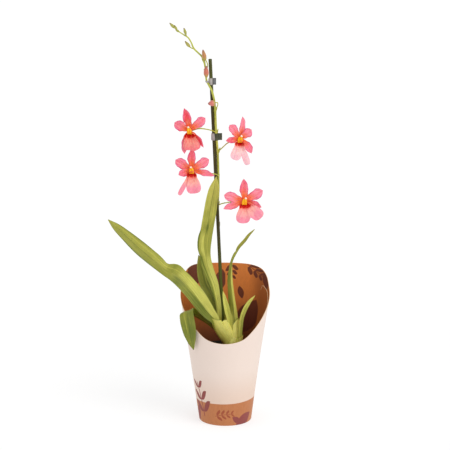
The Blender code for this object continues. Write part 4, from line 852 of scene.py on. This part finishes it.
def make_sleeve(outside, inside, edge):
    """The carton cone with its rolled foot, raised floor, cut rim and glued overlap."""
    around, up = 288, 96
    angle = np.arange(around) * math.tau / around - math.pi / 2
    rim = rim_height(angle)
    band = curve(BAND_TOP, np.degrees((angle + math.pi / 2 + math.pi) % math.tau - math.pi))
    shape = Shape()

    def wall(rings, kind):
        """Joins rings into a surface."""
        rings = np.array(rings)
        marks = np.zeros(rings.shape)
        marks[..., 0] = rings[..., 2] - band
        shape.add(rings, ring_faces(len(rings), around), marks.reshape(-1, 3), kind)

    def level(z, inset):
        """One ring at its heights, inset from the outer face."""
        return ring(sleeve_radius(z) - drawn_in(angle, z) - inset, angle, z)

    heights = [1.0 + (rim - 1.0) * t for t in np.linspace(0, 1, up)]
    foot = [ring(SLEEVE_BASE_R - inset, angle, z) for inset, z in ((FOOT_ROLL, 0.0), (0.5, 0.15))]
    wall(foot + [level(z, 0) for z in heights], 0)
    wall([level(z, BOARD) for z in heights[::-1]], 1)
    cut = ((0, 0), (0.2, 0.12), (0.8, 0.12), (1, 0))
    wall([level(rim, inset * BOARD) + (0, 0, rise) for inset, rise in cut], 2)
    wall([ring(r, angle, z) for r, z in (*UNDERSIDE, (SLEEVE_BASE_R - FOOT_ROLL, 0))], 1)
    wall([ring(r, angle, FLOOR_TOP) for r in (SLEEVE_BASE_R - BOARD, 20.0, 0.0)], 1)
    lean = np.radians(np.linspace(FLAP_EDGE[0][0], FLAP_EDGE[-1][0], 60))[:, None]
    crest = np.minimum(curve(FLAP_EDGE, np.degrees(lean)), rim_height(lean) - 1.0)
    z = POT_TOP + 2 + (crest - POT_TOP - 2) * np.linspace(0, 1, 40)
    strip = ring(sleeve_radius(z) - drawn_in(lean, z) - BOARD - 0.55, lean, z)
    corners, faces = skin(strip[:, ::-1], 0.4)
    shape.add(corners, faces, (150, 0, 0), 1)
    add_tube(shape, [(*place, 0.5) for place in strip[:, -1]], 12, 0, 2)
    shape.make("sleeve_board", [outside, inside, edge], "board", "sleeve", sharp=50)


def add_turned(shape, profile, steps, tone=0.5):
    """Adds a turned surface from a profile of radius and height, run down its outer side."""
    angle = np.arange(steps) * math.tau / steps
    rings = np.array([ring(r, angle, z) for r, z in profile])
    shape.add(rings, [face[::-1] for face in ring_faces(len(rings), steps)], (0, 0, tone))


def pot_inside_radius(z):
    """Inner radius of the grow pot at a height."""
    top = sleeve_radius(POT_RIM_Z) - BOARD - 3.5
    return POT_FOOT_R + (top - POT_FOOT_R) * z / POT_TOP


def make_pot(material):
    """Grow pot with a rolled rim and fine ribs round its wall."""
    shape = Shape()
    rim_r = sleeve_radius(POT_RIM_Z) - BOARD - 2.2
    inner = [(pot_inside_radius(z), z) for z in (POT_FLOOR_Z, 60, 100, POT_TOP - 0.6)]
    lip = [(pot_inside_radius(POT_TOP) + 0.5, POT_TOP), (rim_r - 0.5, POT_TOP), (rim_r, POT_TOP - 0.5),
           (rim_r, POT_RIM_Z + 0.4), (rim_r - 0.4, POT_RIM_Z),
           (pot_inside_radius(POT_RIM_Z) + 1.3, POT_RIM_Z)]
    wall = []
    for z in np.linspace(POT_RIM_Z - 3, POT_FLOOR_Z + 0.2, 24):
        rib = POT_RIB if int(z) % 3 == 0 else 0.0
        outer = pot_inside_radius(z) + POT_WALL
        wall += [(outer + rib, z + 0.8), (outer, z)]
    under = [(POT_FOOT_R + 0.8, POT_FLOOR_Z + 0.1), (0, POT_FLOOR_Z + 0.1)]
    add_turned(shape, [(0, POT_FLOOR_Z), *inner, *lip, *wall, *under], 120)
    shape.make("pot_shell", [material], "pot", "grow_pot", sharp=40)


def make_bark(material):
    """Bark filling: a dark core and loose chips over it."""
    draw = random.Random(BARK_SEED)
    noise.seed_set(BARK_SEED)
    shape = Shape()
    core = [(r, BARK_TOP + 0.6) for r in (0.0, 12.0, 24.0, 36.0, 46.0)]
    core += [(pot_inside_radius(z) - 0.4, z - drop) for z, drop in ((BARK_TOP, 0.6), (20, 0))]
    core += [(0, 20)]
    add_turned(shape, core, 72, 0.05)
    for i in range(BARK_CHIPS):
        radius = BARK_R * math.sqrt((i + 0.5) / BARK_CHIPS)
        angle = i * math.radians(GOLDEN_ANGLE)
        size = np.array((draw.uniform(9, 17), draw.uniform(6, 11), draw.uniform(2.6, 5)))
        if radius > 42:
            size[:2] *= 0.7
        turn = Matrix.Rotation(draw.uniform(0, math.tau), 3, "Z")
        for axis in "XY":
            turn = turn @ Matrix.Rotation(draw.uniform(-CHIP_TILT, CHIP_TILT), 3, axis)
        middle = (radius * math.cos(angle), radius * math.sin(angle), BARK_TOP + draw.uniform(0.4, 3.8))
        places, faces = chip(draw.uniform(0, 100))
        shape.add(places * size @ np.array(turn).T + middle, faces, (0, 0, draw.uniform(0, 1)))
    shape.make("bark_chips", [material], "bark", "potting_bark", sharp=38)


def chip(seed):
    """A chip: a cube cut into small faces, rounded, with a rough broken surface; size one."""
    steps = 4
    places, faces = [], []
    for axis in range(3):
        for sign in (-1, 1):
            start = len(places)
            for i in range(steps + 1):
                for j in range(steps + 1):
                    point = Vector((0, 0, 0))
                    point[axis] = sign
                    point[(axis + 1) % 3] = 2 * i / steps - 1
                    point[(axis + 2) % 3] = 2 * j / steps - 1
                    point = point.lerp(point.normalized() * 1.25, 0.35) * 0.5
                    places.append(point + noise.noise_vector(point * 2.2 + Vector((seed, 0, 0))) * 0.16)
            for i in range(steps):
                for j in range(steps):
                    a = start + i * (steps + 1) + j
                    face = [a, a + steps + 1, a + steps + 2, a + 1]
                    faces.append(face if sign > 0 else face[::-1])
    return np.array(places), faces


def make_stake(material):
    """Straight stick with slight lengthwise flutes and a cut top."""
    foot, top = np.array(STAKE_FOOT), np.array(STAKE_TOP)
    shape = Shape()
    stations = [(t, STAKE_R * (1 + 0.012 * math.sin(47 * t))) for t in np.linspace(0, 0.9985, 120)]
    stations += [(0.9997, STAKE_R * 0.97), (1.0, STAKE_R * 0.86)]
    rows = [(*(foot + (top - foot) * t), radius) for t, radius in stations]
    add_tube(shape, rows, 36, ribs=9, depth=0.012)
    shape.make("stake_stick", [material], "stake", "stake", sharp=50)


def make_leaf(name, material):
    """One leaf with its veins, keel and waved edges."""
    along, across, wave, veins, crease, tones = LEAF_LOOKS[name]
    rows = smooth_rows(LEAVES[name], along)
    rows[:, 3] = np.maximum(rows[:, 3], LEAF_LEAST_HALF)
    places, thick, u, v = blade(rows, across, LEAF_THICKNESS, wave, veins=veins, relief=0.1, keel=0.3,
                                crease=crease, buckles=LEAF_BUCKLES.get(name, ()))
    # The halves' tones carry painted light and shade as well as the leaf's colour.
    steps, left, right = np.array(tones).T
    blend = np.clip(v / LEAF_BLEND + 0.5, 0, 1)
    tone = np.interp(u, steps, left) * (1 - blend) + np.interp(u, steps, right) * blend
    # Painted shade in the folds darkens the tone.
    for at, aside, dark, long, wide in LEAF_FOLD_SHADES.get(name, ()):
        tone = tone - dark * np.exp(-(((u - at) / long) ** 2) - ((v - aside) / wide) ** 2)
    shape = Shape()
    shape.add(*skin(places, thick), twice(u, v, tone))
    shape.make(name + "_blade", [material], "leaf", name)


def add_sheath(shape, rows, high_side, slant, tone):
    """A sheath: a flattened tube with an oblique open mouth and a thin edge."""
    rings, along, around = tube(smooth_rows(rows, 60), 72)
    middle = np.interp(rings[..., 2], [r[2] for r in rows], [r[1] for r in rows])
    rings[..., 1] = middle + (rings[..., 1] - middle) * SHEATH_FLATNESS
    centre = rings.mean(axis=1, keepdims=True)
    way = unit(np.gradient(centre, axis=0))
    side = unit(rings - centre) @ unit(np.array(high_side, float))
    rings = rings + way * (slant * side * along**5)[..., None]
    rings[..., 0] += np.cos(math.tau * SHEATH_RIBS * around) * SHEATH_RIB
    centre = rings.mean(axis=1, keepdims=True)
    shrink = np.array([0.95, 0.9, 0.88, 0.86])[:, None, None]
    inner = centre[:-5:-1] + (rings[:-5:-1] - centre[:-5:-1]) * shrink
    closed = np.concatenate([centre[:1] + (rings[:1] - centre[:1]) * 0.01, rings, inner,
                             centre[-4:-3] + (rings[-4:-3] - centre[-4:-3]) * 0.01])
    along = np.concatenate([along[:1], along, along[:-5:-1], along[-4:-3]])
    around = np.broadcast_to(around[:1], along.shape)
    tones = np.full(along.shape, float(tone))
    # Painted shade inside the open mouth and on its edge.
    tones[-6:] = SHEATH_MOUTH_SHADE
    marks = np.stack([along, around, tones], -1)
    shape.add(closed, ring_faces(len(closed), 72), marks.reshape(-1, 3))


def make_bulb(material):
    """The bulb with its ribs and the sheaths that fan from it."""
    shape = Shape()
    tilt = np.array(Matrix.Rotation(math.radians(BULB_TILT), 3, "Y"))
    polar, turn = np.meshgrid(np.linspace(0, math.pi, 49), np.arange(72) * math.tau / 72, indexing="ij")
    swell = (1 + 0.02 * np.cos(11 * turn)) * np.sin(polar)
    egg = np.stack([swell * np.cos(turn), swell * np.sin(turn), np.cos(polar)], -1) * BULB_SIZE
    marks = np.stack([polar / math.pi, turn / math.tau, BULB_TONE + 0 * polar], -1)
    faces = [face[::-1] for face in ring_faces(49, 72)]
    shape.add(egg @ tilt.T + BULB_MIDDLE, faces, marks.reshape(-1, 3))
    for sheath in SHEATHS:
        add_sheath(shape, *sheath)
    shape.make("bulb_and_sheaths", [material], "bulb", "pseudobulb", sharp=60)


def make_stem(stem_material, bud_material):
    """Flower stem with swollen joints, stalks, bracts and the small buds at its tip."""
    shape = Shape()
    rows = smooth_rows(STEM, 420)
    for joint, _ in BRACTS:
        gap = np.linalg.norm(rows[:, :3] - np.array(joint), axis=1)
        rows[:, 3] += 0.35 * np.exp(-((gap / 2.2) ** 2))
    add_tube(shape, rows, 20, (0.0, 0.1))
    for stalk, red in PEDICELS:
        add_tube(shape, smooth_rows(stalk, 48), 16, (0.05, red), ribs=3, depth=0.06)
    for joint, point in BRACTS:
        joint, point = Vector(joint), Vector(point)
        way = (point - joint).normalized()
        facing = -way.cross(Vector((0, 1, 0))).cross(way)
        widths = ((0, 1.9), (0.4, 1.7), (0.75, 1.0), (1, 0.15))
        scale = smooth_rows([(*joint.lerp(point, t), width, *facing, 38) for t, width in widths], 16)
        places, thick, u, v = blade(scale, 11, 0.35)
        shape.add(*skin(places, thick), twice(u, v, u * 0.3))
    for foot, tip, radius in TIP_BUDS:
        add_bud(shape, foot, tip, radius, 0.0, 1)
    shape.make("stem_and_stalks", [stem_material, bud_material], "stem", "flower_stem")


def add_bud(shape, foot, tip, radius, tone, kind=0):
    """A bud with three closed sepals."""
    foot, tip = Vector(foot), Vector(tip)
    steps = np.linspace(0, 1, 30)
    rows = [(*foot.lerp(tip, t), radius * share) for t, share in zip(steps, curve(BUD_SHAPE, steps))]
    add_tube(shape, rows, 30, tone, kind, ribs=3, depth=0.07)


def tepal_rows(bloom, tip, bend, half, kind, count):
    """Rows of one tepal, from inside the hub to its rounded tip."""
    middle, tip, bend = Vector(bloom["middle"]), Vector(tip), Vector(bend)
    start = tip.normalized() * 1.6
    knee = (start + tip) * 0.5 + bend
    steps = np.linspace(0, 1, count)
    width = curve(TEPAL_WIDTHS[kind], steps) * half
    width *= np.sqrt(np.clip(1 - np.clip((steps - 0.88) / 0.12, 0, 1) ** 2.4, 0.004, 1))
    rows = []
    for u, wide in zip(steps, width):
        place = middle + start * (1 - u) ** 2 + knee * 2 * u * (1 - u) + tip * u**2
        rows.append((*place, wide, *bloom["looks"], 12))
    return rows


def lip_reach(bloom, bearing):
    """How far the lip reaches at bearings from straight down, in degrees."""
    parts = [reach * np.exp(-(((bearing - at) / spread) ** 4)) for at, reach, spread in bloom["lip"]]
    return sum(part**5 for part in parts) ** 0.2


def lip_places(bloom, u, bearing):
    """Places on the lip at shares of its reach and bearings, from the bloom's middle, and the reach."""
    out = CLAW_R + (lip_reach(bloom, bearing) - REACH_FROM + CLAW[2] - CLAW_R) * u
    spread = np.radians(bearing)
    forward = bloom["throw"] * LIP_BOW * np.sin(np.minimum(u * 1.25, 1) * math.pi / 2)
    wave = 1.1 * u**2 * np.sin(bearing / 5.2 + 0.6) + 0.5 * u**4 * np.sin(bearing / 1.9)
    wave += 0.25 * u**6 * np.sin(bearing / 0.9)
    shoulders = 1 + 2.0 * np.exp(-((out / 6.5) ** 2))
    fan = np.stack([out * np.sin(spread) * shoulders, wave - forward, -out * np.cos(spread)], -1)
    return np.array(CLAW) + fan, out


def make_petals(name, bloom, material):
    """Sepals and petals on their hub."""
    middle = Vector(bloom["middle"])
    shape = Shape()
    for i, (tip, bend, half, kind, red) in enumerate(bloom["tepals"]):
        rows = tepal_rows(bloom, tip, bend, half, kind, 44)
        places, thick, u, v = blade(rows, 29, 0.8, 1.5, 1.6 + 0.3 * i, 7, 0.1, 0.35, uneven=0.07)
        shape.add(*skin(places, thick), twice(u, v, u * 0 + red))
    swell = [(t, 3.1 * math.sin(math.pi * (0.06 + 0.88 * t))) for t in np.linspace(0, 1, 14)]
    add_tube(shape, [(*(middle + Vector((0, 3 - 6 * t, 0))), radius) for t, radius in swell], 24, 0.6)
    shape.make(name + "_petals", [material], "tepal", name + "_tepals")


def add_crest(shape, middle, lean):
    """The crest on a lip's claw: three leaning ridges and three knobs before them."""
    for side in (-1, 0, 1):
        ridge = []
        for t in np.linspace(0, 1, 18):
            swell = 1.95 * math.sin(math.pi * (0.14 + 0.76 * t)) ** 0.6
            x, y, z = lean * (2 - 3 * t) + side * (1.2 + 1.5 * t), -6.6 - 1.8 * t, 3.8 - 9.0 * t
            ridge.append((*(middle + (x, y + 0.8 * (side == 0), z)), swell))
        add_tube(shape, ridge, 16, (0.0, 0.3), 1, ribs=4, depth=0.1)
    for aside in (-1.3, 0.0, 1.3):
        knob = []
        for t in np.linspace(0, 1, 8):
            place = middle + (aside, -6.8 - 2.0 * t, -3.6 - 0.6 * t)
            knob.append((*place, 0.8 * math.sqrt(max(1 - t**2, 0.01))))
        add_tube(shape, knob, 12, 0.0, 1)


def make_lip(name, bloom, lip_material, crest_material):
    """The lip with its ruffled edge, and the crest that stands on its claw."""
    middle = np.array(bloom["middle"])
    shape = Shape()
    low = min(at - spread for at, _, spread in bloom["lip"]) - 4
    high = max(at + spread for at, _, spread in bloom["lip"]) + 4
    u, v = np.meshgrid(np.linspace(0, 1, 48) ** 0.9, np.linspace(-1, 1, 97), indexing="ij")
    bearing = low + (high - low) * (v + 1) / 2
    places, out = lip_places(bloom, u, bearing)
    wide, foot, deep = bloom["stain"]
    stain = 1 - (places[..., 0] / wide) ** 2 - ((places[..., 2] - foot) / deep) ** 2
    half = 0.42 * (1 - 0.7 * u**6)
    marks = twice(out[:, ::-1] / 10, np.radians(bearing[:, ::-1]), np.clip(stain[:, ::-1], -3, 1))
    shape.add(*skin((places + middle)[:, ::-1], half[:, ::-1]), marks)
    add_crest(shape, middle, bloom["column"][0] / 10)
    shape.make(name + "_lip_and_crest", [lip_material, crest_material], "lip", name + "_lip")


def make_column(name, bloom, material):
    """The column with its two small wings and pale cap."""
    middle = Vector(bloom["middle"])
    shape = Shape()
    tip, foot = Vector(bloom["column"]), Vector((0, -HUB_R - 0.6, 1.4))
    steps = np.linspace(0, 1, 24)
    profile = curve([(0, 1.4), (0.3, 1.5), (0.6, 1.45), (0.82, 1.6), (0.94, 1.2), (1, 0.3)], steps)
    bow = Vector((0, -0.8, 0.5))
    rows = []
    for t, radius in zip(steps, profile):
        rows.append((*(middle + foot.lerp(tip, t) + bow * math.sin(math.pi * t)), radius))
    add_tube(shape, rows, 24, 0.5, ribs=2, depth=0.1)
    hinge = middle + foot.lerp(tip, 0.6)
    for side in (-1, 1):
        wing = []
        for t in np.linspace(0, 1, 8):
            place = hinge + Vector((side * (0.9 + 1.3 * t), -0.4 * t, -0.9 * t))
            wing.append((*place, 1.2 - 0.8 * t**2, 0, -1, 0.3, 0))
        places, thick, _, _ = blade(wing, 9, 0.45)
        shape.add(*skin(places, thick), (0.2, 0, 0.5))
    shape.make(name + "_column_and_cap", [material], "column", name + "_column")


def make_clip(name, material, tab_material):
    """Moulded clip: two open collars joined by a web, and a thumb tab."""
    clip = CLIPS[name]
    x, y, z = clip["middle"]
    low, high = z - clip["height"] / 2, z + clip["height"] / 2
    stem = smooth_rows(STEM, 400)
    bottom, top = z - clip["held"] / 2, z + clip["held"] / 2
    held = stem[(stem[:, 2] >= bottom) & (stem[:, 2] <= top)]
    shape = Shape()

    def collar(foot, top, inner, outer, opening, kind=0):
        """A ring open on one side, with rounded ends, from foot to top."""
        foot, top = np.array(foot), np.array(top)
        angle = np.linspace(0.5, math.tau - 0.5, 44) + opening
        t = np.linspace(0, 1, 14)
        soft = 0.4 * np.clip(1 - np.minimum(t, 1 - t) * 8, 0, 1) ** 2
        middle = (foot + (top - foot) * t[:, None])[:, None]
        half = np.broadcast_to(((outer - inner) / 2 - soft)[:, None], (14, 44))
        shape.add(*skin((middle + ring((inner + outer) / 2, angle, 0))[:, ::-1], half), (0, 0, 0.5), kind)

    collar((x, y, low), (x, y, high), STAKE_R + 0.2, STAKE_R + 1.5, -0.5)
    grip = clip["grip"]
    collar((*held[0][:2], bottom), (*held[-1][:2], top), grip - 0.8, grip + 0.1, 1.2, clip["kind"])
    half_w, half_h = clip["reach"] / 2, clip["height"] / 2
    v, w = np.meshgrid(np.linspace(-1, 1, 25), np.linspace(-1, 1, 25), indexing="ij")
    rounded_v, rounded_w = (np.sign(a) * (1 - (1 - np.abs(a)) ** 1.6) for a in (v, w))
    places = np.stack([x + STAKE_R + half_w + 0.6 + half_w * rounded_v * np.sqrt(1 - 0.06 * w**8),
                       y - 1.6 - 0.2 * v, z + 0.5 + half_h * rounded_w * np.sqrt(1 - 0.06 * v**8)], -1)
    thick = 0.85 * (1 - 0.5 * np.maximum(np.abs(v), np.abs(w)) ** 10) + 0.12 * np.cos(14 * w)
    shape.add(*skin(places, thick), (0, 0, 0.5), 1)
    shape.make(name + "_body", [material, tab_material], "clip", name, sharp=45)


def make_stage():
    """Pale floor that rises far away, soft studio light and the camera at the photograph's angle."""
    scene = bpy.context.scene
    scene.view_settings.view_transform = "Standard"
    world = bpy.data.worlds.new("studio")
    scene.world = world
    world.use_nodes = True
    world.node_tree.nodes["Background"].inputs["Color"].default_value = (1, 1, 1, 1)
    world.node_tree.nodes["Background"].inputs["Strength"].default_value = SKY
    mesh = bpy.data.meshes.new("floor")
    angle = np.arange(64) * math.tau / 64
    rings = np.array([ring(r, angle, z) for r, z in FLOOR])
    mesh.from_pydata(rings.reshape(-1, 3).tolist(), [], ring_faces(len(rings), 64))
    mesh.shade_smooth()
    floor = bpy.data.objects.new("floor", mesh)
    mesh.materials.append(floor_paint())
    scene.collection.objects.link(floor)
    sun = bpy.data.lights.new("key", "SUN")
    sun.energy, sun.angle = SUN, math.radians(SUN_WIDTH)
    lamp = bpy.data.objects.new("key", sun)
    lamp.location = SUN_PLACE
    lamp.rotation_euler = Vector(lamp.location).to_track_quat("Z", "Y").to_euler()
    scene.collection.objects.link(lamp)
    lens = bpy.data.cameras.new("camera")
    lens.lens, lens.sensor_width, lens.shift_x = CAMERA_LENS, CAMERA_SENSOR, CAMERA_SHIFT
    camera = bpy.data.objects.new("camera", lens)
    camera.location = CAMERA_PLACE
    camera.rotation_euler = (math.pi / 2 - math.radians(CAMERA_PITCH), 0, 0)
    scene.collection.objects.link(camera)
    scene.camera = camera


def main():
    """Builds every piece."""
    make_stage()
    make_sleeve(board_outside(), board_inside(), board_edge())
    make_pot(plastic("pot_plastic", rgb(34, 26, 10), rgb(48, 38, 18), 0.7))
    make_bark(bark_skin())
    make_stake(stake_skin())
    leaf, bud = leaf_skin(), bud_skin()
    for name in LEAVES:
        make_leaf(name, leaf)
    make_bulb(bulb_skin())
    make_stem(stem_skin(), bud)
    for name, sizes in BUDS.items():
        shape = Shape()
        add_bud(shape, *sizes)
        shape.make(name + "_sepals", [bud], "bud", name)
    tepal, crest, column = tepal_skin(), crest_skin(), column_skin()
    for name, bloom in BLOOMS.items():
        make_petals(name, bloom, tepal)
        make_lip(name, bloom, lip_skin(name + "_lip_skin", bloom["tint"], bloom["tinted"]), crest)
        make_column(name, bloom, column)
    body = plastic("clip_plastic", rgb(156, 150, 150), rgb(184, 178, 172), 0.35)
    make_clip("clip_upper", body, plastic("wing_plastic", rgb(92, 92, 94), rgb(116, 116, 116), 0.35))
    make_clip("clip_lower", body, plastic("tab_plastic", rgb(54, 62, 42), rgb(78, 84, 64), 0.35))


main()
